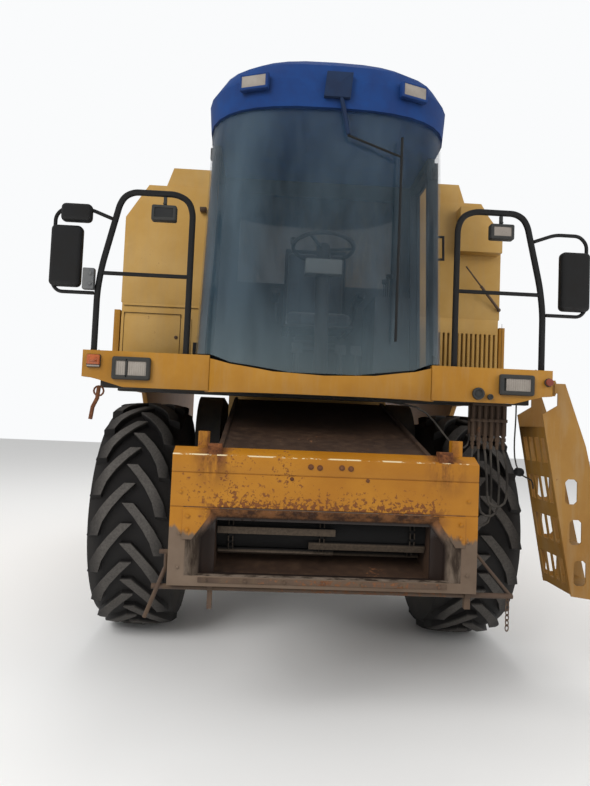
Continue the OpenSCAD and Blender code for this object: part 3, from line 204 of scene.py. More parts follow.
@dataclass(frozen=True)
class TreadRubber:
    """Moulded tyre rubber: carbon black, greyed by wear on the lugs' tops and by dust on the sidewall."""

    name: str
    hub: tuple[float, float]  # the wheel's middle along the machine and its height, in metres
    radius: float
    lug_m: float
    black: str = "#100F11"
    worn: str = "#5F5B57"
    dust: str = "#5C5449"
    roughness: float = 0.78
    grain_mm: float = 14.2857  # coarser than the real rubber's, so that it shows
    cloud_mm: float = 200.0

    def build(self) -> bpy.types.Material:
        """Makes the material.

        Returns:
            The material, with its wear set by the distance from the wheel's axle.
        """
        made, tree, spot = blank_material(self.name)
        along, height = self.hub
        flat = add_node(tree, "Mapping", {"Location": (0.0, -along, -height)}, {"Vector": spot})
        disc = add_node(tree, "VectorMath", {"operation": "MULTIPLY", 1: (0.0, 1.0, 1.0)}, {0: flat})
        far = add_node(tree, "VectorMath", {"operation": "LENGTH"}, {0: disc})
        grain = add_node(
            tree, "TexNoise", {"Scale": 1000 / self.grain_mm, "Detail": 8.0, "Roughness": 0.7}, {"Vector": spot})
        cloud = add_node(tree, "TexNoise", {"Scale": 1000 / self.cloud_mm, "Detail": 5.0}, {"Vector": spot})
        low, high = (self.radius - self.lug_m * share for share in (0.42, 0.12))
        top = add_node(tree, "MapRange", {"From Min": low, "From Max": high}, {"Value": far})
        rough = add_node(tree, "MapRange", {"From Min": 0.35, "From Max": 0.62, "To Min": 0.55}, {"Value": grain})
        tipped = add_node(tree, "Math", {"operation": "MULTIPLY"}, {0: top, 1: rough})
        low, high = self.radius * 0.62, self.radius - self.lug_m
        side = add_node(
            tree, "MapRange", {"From Min": low, "From Max": high, "To Min": 0.75, "To Max": 0.10}, {"Value": far})
        dusty = add_node(tree, "Math", {"operation": "MULTIPLY", "use_clamp": True}, {0: side, 1: cloud})
        floor_dust = add_node(
            tree, "Mix", {"data_type": "RGBA", 6: linear(self.black), 7: linear(self.dust)}, {0: dusty})
        skin = add_node(tree, "Mix", {"data_type": "RGBA", 7: linear(self.worn)}, {0: tipped, 6: floor_dust})
        bump = add_node(tree, "Bump", {"Strength": 0.35, "Distance": 0.003}, {"Height": grain})
        shader = add_node(
            tree, "BsdfPrincipled", {"Roughness": self.roughness, "IOR": 1.5}, {"Base Color": skin, "Normal": bump})
        add_node(tree, "OutputMaterial", {}, {"Surface": shader})
        return made


@dataclass(frozen=True)
class Moulded:
    """Plain moulded or coated surface, as plastic, satin tube or zinc: one colour, fine grain, light dust."""

    name: str
    colour: str
    second: str
    roughness: float = 0.45
    metallic: float = 0.0
    grain_mm: float = 6.0
    patch_mm: float = 180.0
    bump: float = 0.15
    coat: float = 0.0
    duller: float = 0.25  # how much rougher the dusty patches are

    def build(self) -> bpy.types.Material:
        """Makes the material.

        Returns:
            The material, with its second colour in soft patches.
        """
        made, tree, spot = blank_material(self.name)
        patch = add_node(
            tree, "TexNoise", {"Scale": 1000 / self.patch_mm, "Detail": 7.0, "Roughness": 0.65}, {"Vector": spot})
        grain = add_node(tree, "TexNoise", {"Scale": 1000 / self.grain_mm, "Detail": 4.0}, {"Vector": spot})
        tone = add_node(tree, "ValToRGB", {"stops": ((0.42, self.colour), (0.70, self.second))}, {"Fac": patch})
        dullest = min(1.0, self.roughness + self.duller)
        dull = add_node(
            tree, "MapRange", {"From Min": 0.3, "From Max": 0.75, "To Min": self.roughness, "To Max": dullest},
            {"Value": patch})
        bump = add_node(tree, "Bump", {"Strength": self.bump, "Distance": 0.001}, {"Height": grain})
        shader = add_node(
            tree, "BsdfPrincipled", {"Metallic": self.metallic, "IOR": 1.5, "Coat Weight": self.coat},
            {"Base Color": tone, "Roughness": dull, "Normal": bump})
        add_node(tree, "OutputMaterial", {}, {"Surface": shader})
        return made


@dataclass(frozen=True)
class FaceEnamel:
    """Enamel of the feeder's front frame: bright above, rusted over the mouth, brown low down, and painted black
    inside the opening as shade.
    """

    name: str
    paint: tuple[str, str]
    rust: tuple[str, str] = ("#472613", "#7E4D2A")
    front_y: float = -4.05
    hooks: tuple[float, float] = (-0.585, 0.625)  # the two hooks on the top flange, across from the machine's middle
    patch_mm: float = 384.615
    fleck_mm: float = 23.8095
    streak_mm: float = 71.4286
    # Shares of the surface. A BAND reads one measure, in metres where it is a length, and grows from 0 at the
    # first number to 1, or to the third, at the second. The other rows join shares and measures named before.
    shares: tuple[tuple, ...] = (
        # scattered chips, and the ragged strip over the opening
        ("speck", "MULTIPLY", "fleck", "patch"), ("chips", "BAND", "speck", 0.335, 0.360),
        ("fade", "BAND", "height", 1.380, 1.205, 0.24), ("ragged", "ADD", "fleck", "fade"),
        ("strip_edge", "BAND", "ragged", 0.655, 0.700), ("strip_foot", "BAND", "height", 1.150, 1.175),
        ("strip_end", "BAND", "aside", 0.660, 0.560), ("strip", "MULTIPLY", "strip_edge", "strip_foot", "strip_end"),
        # rust that has run down from the hooks, and the hooks themselves
        ("run_width", "BAND", "hook", 0.130, 0.030), ("run_fall", "BAND", "height", 1.300, 1.480),
        ("run_streaks", "BAND", "streak", 0.400, 0.520), ("run", "MULTIPLY", "run_width", "run_fall", "run_streaks"),
        ("hook_side", "BAND", "hook", 0.045, 0.037), ("hook_root", "BAND", "height", 1.491, 1.494),
        ("hook_rust", "MULTIPLY", "hook_side", "hook_root"), ("hook_all", "MAXIMUM", "run", "hook_rust"),
        ("hook_depth", "BAND", "depth", 0.120, 0.095), ("hooked", "MULTIPLY", "hook_all", "hook_depth"),
        ("bare", "MAXIMUM", "chips", "strip", "hooked"),
        # pale edge along the top: a painted highlight where the top flange catches the light, broken in places
        ("edge_foot", "BAND", "height", 1.4885, 1.4895), ("edge_head", "BAND", "height", 1.4960, 1.4945),
        ("edge_gaps", "BAND", "streak", 0.460, 0.500), ("top_highlight", "MULTIPLY", "edge_foot", "edge_head", "edge_gaps"),
        # dirt low down beside the opening and on the lip, thinner higher up
        ("cheek_head", "BAND", "height", 1.170, 1.120), ("cheek_side", "BAND", "aside", 0.500, 0.600),
        ("cheeks", "MULTIPLY", "cheek_head", "cheek_side"), ("lip", "BAND", "height", 0.930, 0.885),
        ("low", "MAXIMUM", "cheeks", "lip"), ("lower", "BAND", "height", 1.140, 0.960),
        ("heavier", "ADD", "streak", "lower"), ("cover", "BAND", "heavier", 0.620, 0.740),
        ("dirt", "MULTIPLY", "low", "cover"), ("dull", "MAXIMUM", "bare", "dirt"),
        # the opening's sloped sides, and what lies deeper, which is painted near black as shade
        ("mouth_side", "BAND", "aside", 0.735, 0.725), ("mouth_head", "BAND", "height", 1.232, 1.226),
        ("mouth_foot", "BAND", "height", 0.835, 0.842),
        ("mouth", "MULTIPLY", "mouth_side", "mouth_head", "mouth_foot"),
        ("behind", "BAND", "depth", 0.001, 0.004), ("funnel", "MULTIPLY", "mouth", "behind"),
        ("deep", "BAND", "depth", 0.046, 0.060), ("inner", "MULTIPLY", "mouth", "deep"),
        ("flaked", "BAND", "streak", 0.400, 0.600), ("greyer", "BAND", "height", 1.160, 1.080))
    # Mixtures of two colours by a measure or share
    mixtures: tuple[tuple[str, str, str, str], ...] = (
        ("grime", "patch", "#4A3729", "#867565"), ("reddish", "flaked", "#3E2618", "#8A5C36"),
        # the near-black mixture on this line is painted shade, for deep inside the opening
        ("greyish", "flaked", "#33281F", "#75675A"), ("painted_shade_black", "streak", "#0D0A08", "#2A1A12"),
        # the pale mixture on this line is the colour of the painted highlight along the top edge
        ("pale", "streak", "#D9C7A0", "#D9C7A0"))
    # Coats from the lowest to the last: each covers one mixture with another by a share
    coats: tuple[tuple[str, str, str, str], ...] = (
        # edged lays the painted highlight along the top edge
        ("rusted", "bare", "paint", "rust"), ("edged", "top_highlight", "rusted", "pale"),
        ("soiled", "dirt", "edged", "grime"), ("scoured", "greyer", "reddish", "greyish"),
        # the last coat paints the shade deep inside the opening
        ("sloped", "funnel", "soiled", "scoured"), ("whole", "inner", "sloped", "painted_shade_black"))

    def measures(self, tree: bpy.types.NodeTree, spot: Socket) -> dict[str, Source]:
        """Reads the places and the patterns that the shares are made of.

        Args:
            tree: The material's node tree.
            spot: Its Object coordinates.

        Returns:
            The sockets and nodes by name.
        """
        axes = add_node(tree, "SeparateXYZ", {}, {"Vector": spot})
        centred = add_node(tree, "Math", {"operation": "ADD", 1: MIDDLE.x}, {0: axes.outputs["X"]})
        away = []
        for middle in (0.0, *self.hooks):
            apart = add_node(tree, "Math", {"operation": "SUBTRACT", 1: middle}, {0: centred})
            away.append(add_node(tree, "Math", {"operation": "ABSOLUTE"}, {0: apart}))
        depth = add_node(tree, "Math", {"operation": "SUBTRACT", 1: self.front_y}, {0: axes.outputs["Y"]})
        hook = add_node(tree, "Math", {"operation": "MINIMUM"}, {0: away[1], 1: away[2]})
        known = {"height": axes.outputs["Z"], "depth": depth, "aside": away[0], "hook": hook}
        smear = add_node(tree, "Mapping", {"Scale": (1.0, 1.0, 0.25)}, {"Vector": spot})
        for name, size, detail, rough, grid in (
                ("patch", self.patch_mm, 6.0, 0.62, spot), ("fleck", self.fleck_mm, 7.0, 0.7, spot),
                ("streak", self.streak_mm, 6.0, 0.65, smear)):
            settings = {"Scale": 1000 / size, "Detail": detail, "Roughness": rough}
            known[name] = add_node(tree, "TexNoise", settings, {"Vector": grid})
        return known

    def build(self) -> bpy.types.Material:
        """Makes the material.

        Returns:
            The material, whose worn places follow the frame's own shape.
        """
        made, tree, spot = blank_material(self.name)
        known = self.measures(tree, spot)
        for name, kind, first, *rest in self.shares:
            if kind == "BAND":
                start, full, most = (*rest, 1.0)[:3]
                known[name] = add_node(
                    tree, "MapRange", {"From Min": start, "From Max": full, "To Max": most}, {"Value": known[first]})
                continue
            known[name] = known[first]
            for other in rest:
                known[name] = add_node(tree, "Math", {"operation": kind}, {0: known[name], 1: known[other]})
        for name, measure, colours in (("paint", "patch", self.paint), ("rust", "fleck", self.rust)):
            known[name] = add_node(
                tree, "ValToRGB", {"stops": ((0.38, colours[0]), (0.66, colours[1]))}, {"Fac": known[measure]})
        for name, share, first, second in self.mixtures:
            known[name] = add_node(
                tree, "Mix", {"data_type": "RGBA", 6: linear(first), 7: linear(second)}, {0: known[share]})
        for name, share, under, over in self.coats:
            known[name] = add_node(
                tree, "Mix", {"data_type": "RGBA"}, {0: known[share], 6: known[under], 7: known[over]})
        dull = add_node(tree, "MapRange", {"To Min": 0.46, "To Max": 0.88}, {"Value": known["dull"]})
        bump = add_node(tree, "Bump", {"Strength": 0.2, "Distance": 0.002}, {"Height": known["fleck"]})
        shader = add_node(
            tree, "BsdfPrincipled", {"IOR": 1.5}, {"Base Color": known["whole"], "Roughness": dull, "Normal": bump})
        add_node(tree, "OutputMaterial", {}, {"Surface": shader})
        return made


@dataclass(frozen=True)
class ClearGlass:
    """Curved safety glass under a film: blue-grey dust on the windscreen and door glass, painted shade on the side
    and rear windows. Most light goes through, more is caught low down, and a painted reflection lies towards the
    machine's right.
    """

    name: str
    film_colour: str
    low_film_colour: str
    share: float = 0.22
    low_share: float = 0.55
    low_top: float = 2.45
    low_depth: float = 0.5
    cloud_mm: float = 294.118
    # A painted reflection, drawn as a thicker film towards the machine's right: where it starts and is full, in the
    # solids' frame, and its share
    side_reflection: tuple[float, float, float] = (-0.40, -0.66, 0.26)

    def build(self) -> bpy.types.Material:
        """Makes the material.

        Returns:
            The material, whose opacity is the film's.
        """
        made, tree, spot = blank_material(self.name)
        drawn = add_node(tree, "Mapping", {"Scale": (1.0, 1.0, 0.3)}, {"Vector": spot})
        cloud = add_node(
            tree, "TexNoise", {"Scale": 1000 / self.cloud_mm, "Detail": 6.0, "Roughness": 0.68}, {"Vector": drawn})
        level = add_node(tree, "SeparateXYZ", {}, {"Vector": spot})
        low = add_node(
            tree, "MapRange", {"From Min": self.low_top, "From Max": self.low_top - self.low_depth},
            {"Value": level.outputs["Z"]})
        least, most = self.share * 0.55, self.share * 1.7
        film = add_node(
            tree, "MapRange", {"From Min": 0.34, "From Max": 0.70, "To Min": least, "To Max": most}, {"Value": cloud})
        more = add_node(tree, "Math", {"operation": "MULTIPLY", 1: self.low_share - self.share}, {0: low})
        # The painted reflection: more of the film's colour towards the machine's right, broken by the dust's cloud
        start, full, most = self.side_reflection
        beside = add_node(
            tree, "MapRange", {"From Min": start, "From Max": full, "To Max": most}, {"Value": level.outputs["X"]})
        reflection_share = add_node(tree, "Math", {"operation": "MULTIPLY"}, {0: beside, 1: cloud})
        film = add_node(tree, "Math", {"operation": "ADD"}, {0: film, 1: reflection_share})
        cover = add_node(tree, "Math", {"operation": "ADD", "use_clamp": True}, {0: film, 1: more})
        tint = add_node(tree, "Mix", {"data_type": "RGBA", 6: linear(self.film_colour), 7: linear(self.low_film_colour)}, {0: low})
        polish = {
            "Roughness": 0.06, "IOR": 1.5, "Specular IOR Level": 1.0, "Coat Weight": 0.6, "Coat Roughness": 0.03}
        shader = add_node(tree, "BsdfPrincipled", polish, {"Base Color": tint, "Alpha": cover})
        add_node(tree, "OutputMaterial", {}, {"Surface": shader})
        return made


@dataclass(frozen=True)
class Woven:
    """Woven seat cloth: two thread colours in a plain weave, drawn coarser than the real 1 mm so that it shows."""

    name: str
    colour: str
    thread: str
    pitch_mm: float = 5.0
    wave_turns: float = 6.4  # turns a metre of a wave texture at scale 1, times two threads to a turn

    def build(self) -> bpy.types.Material:
        """Makes the material.

        Returns:
            The material.
        """
        made, tree, spot = blank_material(self.name)
        scale = 1000 / self.pitch_mm / self.wave_turns
        across, upward = (
            add_node(tree, "TexWave", {"bands_direction": way, "Scale": scale, "Distortion": 0.4}, {"Vector": spot})
            for way in "XZ")
        weave = add_node(
            tree, "Math", {"operation": "MULTIPLY"}, {0: across.outputs["Fac"], 1: upward.outputs["Fac"]})
        tone = add_node(
            tree, "Mix", {"data_type": "RGBA", 6: linear(self.colour), 7: linear(self.thread)}, {0: weave})
        bump = add_node(tree, "Bump", {"Strength": 0.4, "Distance": 0.001}, {"Height": weave})
        shader = add_node(
            tree, "BsdfPrincipled", {"Roughness": 0.9, "Sheen Weight": 0.2}, {"Base Color": tone, "Normal": bump})
        add_node(tree, "OutputMaterial", {}, {"Surface": shader})
        return made


# Sprayed enamel of the panels: warm, satin, with soft fading and faint dust in streaks
YELLOW = Enamel("yellow_enamel", "#9E6C19", "#AC7A26", wear=Wear.KEPT, roughness=0.45)
# The same enamel on the feeder's frame, scraped by crop: rust-red and brown where it has gone
FACE_YELLOW = FaceEnamel("scraped_yellow_enamel", ("#A0660B", "#AE7416"))
# Enamel faded by the sun on the upper body: paler and flatter
PALE_YELLOW = Enamel("faded_yellow_enamel", "#B48B45", "#BE9858", wear=Wear.KEPT, roughness=0.5)
# Lift cylinders: enamel chipped by stones, with rust in the chips
CYLINDER_YELLOW = Enamel("cylinder_enamel", "#A87016", "#B47E28", wear=Wear.SCRAPED, roughness=0.5)
# The feeder's sheet, its paint worn away by crop: brown-black, dull and patchy; darkened further as painted shade,
# for it lies in the cab's shade
HOUSING = Enamel("feeder_sheet", "#2B1F18", "#3B2B21", dust="#54402F", wear=Wear.WORKED, roughness=0.65)
# The ladder's enamel under boots and mud: dark ochre with little shine
LADDER_YELLOW = Enamel("ladder_enamel", "#8E6428", "#9D7436", wear=Wear.WORKED, roughness=0.55)
# Dark frame paint: matte, dusty, rusted at the chips
CHASSIS_GREY = Enamel("chassis_enamel", "#232221", "#302D2A", dust="#4E463B", wear=Wear.WORKED, roughness=0.6)
# Hot-rolled steel without paint: an even brown film of rust
BARE_STEEL = Enamel("rusted_steel", "#4A3A2F", "#5D4A3C", dust="#6B5A47", wear=Wear.SCRAPED, roughness=0.7)
# Galvanised sheet: grey metal with soft clouds
ZINC = Moulded("galvanised_sheet", "#77787A", "#93938F", roughness=0.5, metallic=0.7)
# Powder-coated tube: deep black with wide, soft highlights
RAIL_BLACK = Moulded("satin_black_tube", "#0A0A0B", "#151312", roughness=0.58)
# Injection-moulded plastic: black, finely grained, no sharp highlight
PLASTIC = Moulded("moulded_black_plastic", "#101011", "#1C1C1C", roughness=0.6)
# Moulded rubber: near black, dull, greyed by dust
RUBBER = Moulded("rubber_hose_and_seal", "#0D0D0E", "#211F1D", roughness=0.65)
# Roof cap moulded in blue plastic: even colour with a dull sheen
ROOF_BLUE = Moulded("blue_roof_moulding", "#0B2F66", "#133D78", roughness=0.6)
# Steel left outdoors: rough red-brown scale
RUSTED_STEEL = Enamel("red_rusted_steel", "#4E2C1C", "#6B4229", dust="#7A5638", wear=Wear.SCRAPED, roughness=0.85)
# The wiper's mouldings: navy plastic, a little darker than the roof
WIPER_NAVY = Moulded("navy_wiper_moulding", "#0C1E3A", "#152B4A", roughness=0.55)
# Hard-chromed rod and silvered glass: bright, with sharp reflections
CHROME = Moulded("chromed_rod", "#B9BABC", "#9A9A98", roughness=0.15, metallic=1.0, bump=0.02)
# Pressed lamp glass over a dusty reflector: pale warm grey with a wet shine
LENS_GREY = Moulded("lamp_reflector", "#8A8178", "#A1998F", roughness=0.25, coat=0.4)
# Moulded amber acrylic, weathered: orange-brown under a clear gloss
LENS_AMBER = Moulded("amber_lens", "#A04A1A", "#B25A24", roughness=0.25, coat=0.6)
# A work lamp's glass that has gone dark: nearly black, still glossy
LENS_DARK = Moulded("dark_lamp_lens", "#131415", "#1F1F1E", roughness=0.25, coat=0.2)
# Lamp bodies of moulded plastic: dark grey, greyed further by the sun
LAMP_SHELL = Moulded("lamp_shell_moulding", "#2C2D2C", "#3A3835", roughness=0.5)
# Grey moulding of the cab's inside: soft and matte
CAB_GREY = Moulded("grey_cab_moulding", "#4E5253", "#5A5D5C", roughness=0.6)
# Dusty sheet behind the vent's slots, seen in shade: flat brown
VENT_BROWN = Moulded("dusty_vent_back", "#9C7A45", "#AC8B55", roughness=0.85)
# Dirt that fills the gaps between panels: dark brown with no shine
GAP_BROWN = Moulded("dirty_gap", "#2E2012", "#463218", roughness=0.9)
# Rubber hose with a woven cover: coarse grain that breaks up the light
HOSE_BRAID = Moulded("braided_hose_cover", "#2C2926", "#55504A", roughness=0.8, grain_mm=9.0, bump=0.5)
# Moulded red acrylic, bleached: brick red with a weak shine
LENS_RED = Moulded("red_lens", "#6B2A20", "#7F3A2C", roughness=0.4, coat=0.3)
# Toughened glass under dust: clear blue-grey with a milky lower edge
GLASS = ClearGlass("cab_glass", "#4F6878", "#64777D", share=0.13, low_share=0.30)
# Side and rear windows: their dark film is painted shade, for the cab's rear lies in shade; little is seen through
# them
SHADED_GLASS = ClearGlass("shaded_cab_glass", "#0E1216", "#191C1E", share=0.62, low_share=0.72)
# Plain-woven upholstery: charcoal, soft-edged, no gloss
SEAT_CLOTH = Woven("seat_cloth", "#17181B", "#2B2D33")
# Moulded tyre rubber: lugs worn grey on top, walls brown with dust
DRIVE_TYRE = TreadRubber("drive_tyre_rubber", (-2.0, DRIVE_RADIUS), DRIVE_RADIUS, 0.05)
STEER_TYRE = TreadRubber("steer_tyre_rubber", (STEER_AXLE_Y - 2.0, STEER_RADIUS), STEER_RADIUS, 0.035)
# Steel of the feeder's drum, black with crop and oil: it wears bright towards its slats' tips, as lugs do
CHAIN_STEEL = TreadRubber(
    "oiled_chain_steel", (-3.770, 1.085), 0.142, 0.040, black="#070606", worn="#5A4E42", dust="#0D0B0A",
    roughness=0.9)

Finish = Enamel | FaceEnamel | TreadRubber | Moulded | ClearGlass | Woven
PAINT_SHOP: dict[str, bpy.types.Material] = {}


def material(finish: Finish) -> bpy.types.Material:
    """Hands out a finish's material, made at its first use."""
    if finish.name not in PAINT_SHOP:
        PAINT_SHOP[finish.name] = finish.build()
    return PAINT_SHOP[finish.name]


NODE_FINISH: dict[str, Finish] = {
    "chassis": CHASSIS_GREY, "drive_axle": CHASSIS_GREY, "threshing_body": PALE_YELLOW, "cleaning_shoe": ZINC,
    "grain_tank": PALE_YELLOW, "front_bulkhead": PALE_YELLOW, "engine_hood": YELLOW, "engine_block": BARE_STEEL,
    "straw_hood": YELLOW, "straw_chopper": CHASSIS_GREY, "deck": CHASSIS_GREY, "front_panels": YELLOW,
    "lamps": LENS_GREY, "handrails": RAIL_BLACK, "mirrors": RAIL_BLACK, "cab_frame": PLASTIC, "cab_roof": ROOF_BLUE,
    "windscreen": GLASS, "cab_windows": SHADED_GLASS, "wiper": PLASTIC, "seat": SEAT_CLOTH,
    "steering_column": PLASTIC, "hydraulic_pipes": BARE_STEEL, "feeder_housing": HOUSING, "feeder_face": FACE_YELLOW,
    "feeder_chain": CHAIN_STEEL, "lift_barrel_left": CYLINDER_YELLOW, "lift_barrel_right": CYLINDER_YELLOW,
    "lift_rod_left": CHROME, "lift_rod_right": CHROME, "front_tyre_left": DRIVE_TYRE, "front_tyre_right": DRIVE_TYRE,
    "front_rim_left": YELLOW, "front_rim_right": YELLOW, "rear_axle_beam": CHASSIS_GREY, "knuckle_left": CHASSIS_GREY,
    "knuckle_right": CHASSIS_GREY, "rear_tyre_left": STEER_TYRE, "rear_tyre_right": STEER_TYRE,
    "rear_rim_left": YELLOW, "rear_rim_right": YELLOW, "cab_door": PLASTIC, "door_glass": GLASS,
    "ladder": LADDER_YELLOW, "unloading_auger": YELLOW, "tank_cover_left": PALE_YELLOW,
    "tank_cover_right": PALE_YELLOW, "side_shield_left": YELLOW, "side_shield_right": YELLOW,
    "radiator_screen": CHASSIS_GREY, "chopper_deflector": YELLOW, "header_latch": BARE_STEEL,
    "drive_guards": CHASSIS_GREY, "hose_inner": RUBBER, "hose_middle": RUBBER, "hose_outer": RUBBER,
    "cab_cable": RUBBER, "plug_cable": RUBBER}
# Nodes whose edges get a small bevel, so that they catch the light as folded and welded sheet does
FOLDED = (
    "feeder_face", "feeder_housing", "front_panels", "grain_tank", "engine_hood", "straw_hood", "threshing_body",
    "tank_cover_left", "tank_cover_right", "side_shield_left", "side_shield_right", "front_bulkhead", "cab_frame",
    "cab_door", "deck", "drive_axle")


@dataclass
class SolidsDresser:
    """Gives each solid its finish, its smooth curved faces and its softened folds."""

    fold_radius: float = 0.004
    fold_angle: float = math.radians(35)

    def dress(self) -> None:
        """Dresses every solid of the model."""
        for name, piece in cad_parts.items():
            finish = NODE_FINISH.get(name, CHASSIS_GREY)
            piece.data.materials.clear()
            piece.data.materials.append(material(finish))
            self.soften(piece, name in FOLDED)
        LOG.info("dressed %d solids", len(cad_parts))

    def soften(self, piece: Piece, folded: bool) -> None:
        """Smooths the curved faces of a solid and keeps its edges.

        Args:
            piece: The solid's object.
            folded: Whether its edges also get a small round.
        """
        piece.data.polygons.foreach_set("use_smooth", [True] * len(piece.data.polygons))
        weld = piece.modifiers.new("weld", "WELD")
        weld.merge_threshold = 0.00005
        if folded:
            bevel = piece.modifiers.new("fold", "BEVEL")
            bevel.width, bevel.segments = self.fold_radius, 2
            bevel.limit_method, bevel.angle_limit = "ANGLE", self.fold_angle
            bevel.harden_normals = False
        split = piece.modifiers.new("edges", "EDGE_SPLIT")
        split.split_angle = self.fold_angle


class Bench:
    """Models new pieces with Blender's own mesh tools, in the solids' frame."""

    @staticmethod
    def clear() -> None:
        """Leaves nothing selected."""
        if bpy.context.object and bpy.context.object.mode != "OBJECT":
            bpy.ops.object.mode_set(mode="OBJECT")
        bpy.ops.object.select_all(action="DESELECT")

    @classmethod
    def block(cls, name: str, low: Vector, high: Vector, round_edge: float = 0.0, segments: int = 2) -> Piece:
        """Models a block with rounded edges.

        Args:
            name: The piece's name.
            low: Its lowest corner.
            high: Its highest corner.
            round_edge: Radius of its edges.
            segments: Steps of that radius.

        Returns:
            The piece, at the origin.
        """
        cls.clear()
        bpy.ops.mesh.primitive_cube_add(size=1.0, location=(low + high) / 2)
        made = bpy.context.object
        made.name = name
        made.scale = high - low
        bpy.ops.object.transform_apply()
        if round_edge > 0:
            bpy.ops.object.mode_set(mode="EDIT")
            bpy.ops.mesh.select_all(action="SELECT")
            bpy.ops.mesh.bevel(offset=round_edge, segments=segments, affect="EDGES")
            bpy.ops.object.mode_set(mode="OBJECT")
            bpy.ops.object.shade_smooth_by_angle(angle=SHARP)
        return made

    @classmethod
    def disc(
            cls, name: str, start: Vector, end: Vector, radius: float, sides: int = 24,
            round_edge: float = 0.0) -> Piece:
        """Models a round bar or disc between two points.

        Args:
            name: The piece's name.
            start: Middle of its first end.
            end: Middle of its second end.
            radius: Its radius.
            sides: Flats around it.
            round_edge: Radius of the edges at both ends.

        Returns:
            The piece, at the origin.
        """
        cls.clear()
        run = end - start
        bpy.ops.mesh.primitive_cylinder_add(
            vertices=sides, radius=radius, depth=run.length, location=(start + end) / 2,
            rotation=run.to_track_quat("Z", "Y").to_euler())
        made = bpy.context.object
        made.name = name
        bpy.ops.object.transform_apply()
        if round_edge > 0:
            bpy.ops.object.mode_set(mode="EDIT")
            bpy.ops.mesh.select_all(action="DESELECT")
            mesh = bmesh.from_edit_mesh(made.data)
            for face in mesh.faces:
                face.select = len(face.verts) == sides and sides > 4
            mesh.select_flush(False)
            bmesh.update_edit_mesh(made.data)
            bpy.ops.mesh.bevel(offset=round_edge, segments=2, affect="EDGES")
            bpy.ops.object.mode_set(mode="OBJECT")
        bpy.ops.object.shade_smooth_by_angle(angle=SHARP)
        return made

    @classmethod
    def pick(cls, piece: Piece, test: Callable[[Vector, Vector], bool] = lambda middle, normal: True) -> int:
        """Opens a piece for editing, with the faces selected that pass a test.

        Args:
            piece: The piece.
            test: Says from a face's middle and normal whether it is wanted.

        Returns:
            How many faces are selected.
        """
        cls.clear()
        piece.select_set(True)
        bpy.context.view_layer.objects.active = piece
        bpy.ops.object.mode_set(mode="EDIT")
        bpy.ops.mesh.select_mode(type="FACE")
        bpy.ops.mesh.select_all(action="DESELECT")
        mesh = bmesh.from_edit_mesh(piece.data)
        found = [face for face in mesh.faces if test(face.calc_center_median(), face.normal)]
        for face in found:
            face.select_set(True)
        bmesh.update_edit_mesh(piece.data)
        return len(found)

    @staticmethod
    def close() -> None:
        """Ends the editing of a piece."""
        bpy.ops.object.mode_set(mode="OBJECT")

    @classmethod
    def recess(cls, piece: Piece, towards: Vector, rim: float, depth: float) -> Piece:
        """Leaves a rim round the face that looks one way, and pushes its middle in.

        Args:
            piece: The piece.
            towards: The way that the face looks.
            rim: Width of the rim.
            depth: How far the middle goes in, or comes out where it is negative.

        Returns:
            The piece.
        """
        if cls.pick(piece, lambda middle, normal: normal.dot(towards) > 0.97):
            bpy.ops.mesh.inset(thickness=rim)
            bpy.ops.mesh.extrude_region_move(TRANSFORM_OT_translate={"value": towards * -depth})
        cls.close()
        return piece

    @classmethod
    def cut(cls, piece: Piece, point: Vector, beyond: Vector) -> Piece:
        """Cuts off what lies beyond a plane, and closes the cut.

        Args:
            piece: The piece.
            point: A point of the plane.
            beyond: The plane's normal, on the side that goes.

        Returns:
            The piece.
        """
        cls.pick(piece)
        bpy.ops.mesh.bisect(plane_co=point, plane_no=beyond, use_fill=True, clear_outer=True)
        cls.close()
        return piece

    @classmethod
    def wedge(
            cls, name: str, low: Vector, high: Vector, cuts: list[tuple[Vector, Vector]],
            round_edge: float = 0.0) -> Piece:
        """Models a plate or block with corners cut off by planes.

        Args:
            name: The piece's name.
            low: Lowest corner of the block.
            high: Highest corner of the block.
            cuts: A point and a normal for each plane.
            round_edge: Radius of its edges.

        Returns:
            The piece.
        """
        made = cls.block(name, low, high)
        for point, beyond in cuts:
            cls.cut(made, point, beyond)
        if round_edge > 0:
            cls.pick(made)
            bpy.ops.mesh.bevel(offset=round_edge, segments=2, affect="EDGES")
            cls.close()
            bpy.ops.object.shade_smooth_by_angle(angle=SHARP)
        return made

    @classmethod
    def bolt(cls, name: str, at: Vector, out: Vector, across: float = 0.018) -> Piece:
        """Models a hexagonal head on its washer.

        Args:
            name: The piece's name.
            at: Where it sits on the surface.
            out: The way that it looks.
            across: Width of the head.

        Returns:
            The piece.
        """
        washer = cls.disc(name, at - out * 0.001, at + out * 0.002, across * 0.85, 14)
        head = cls.disc(name, at, at + out * across * 0.5, across * 0.56, 6, across * 0.07)
        return cls.join(name, [washer, head])

    @classmethod
    def rod(cls, name: str, points: list[Vector], radius: float, sides: int = 8) -> Piece:
        """Models a bent rod along a line of points.

        Args:
            name: The piece's name.
            points: The line.
            radius: The rod's radius.
            sides: Flats around it.

        Returns:
            The piece, as a mesh.
        """
        cls.clear()
        bpy.ops.curve.primitive_bezier_curve_add()
        made = bpy.context.object
        made.name = name
        curve = made.data
        curve.splines.clear()
        line = curve.splines.new("POLY")
        line.points.add(len(points) - 1)
        for knot, point in zip(line.points, points):
            knot.co = (*point, 1.0)
        curve.dimensions, curve.bevel_depth, curve.bevel_resolution = "3D", radius, max(0, sides // 4 - 1)
        curve.use_fill_caps = True
        bpy.ops.object.convert(target="MESH")
        bpy.ops.object.transform_apply()
        bpy.ops.object.shade_smooth_by_angle(angle=SHARP)
        return bpy.context.object

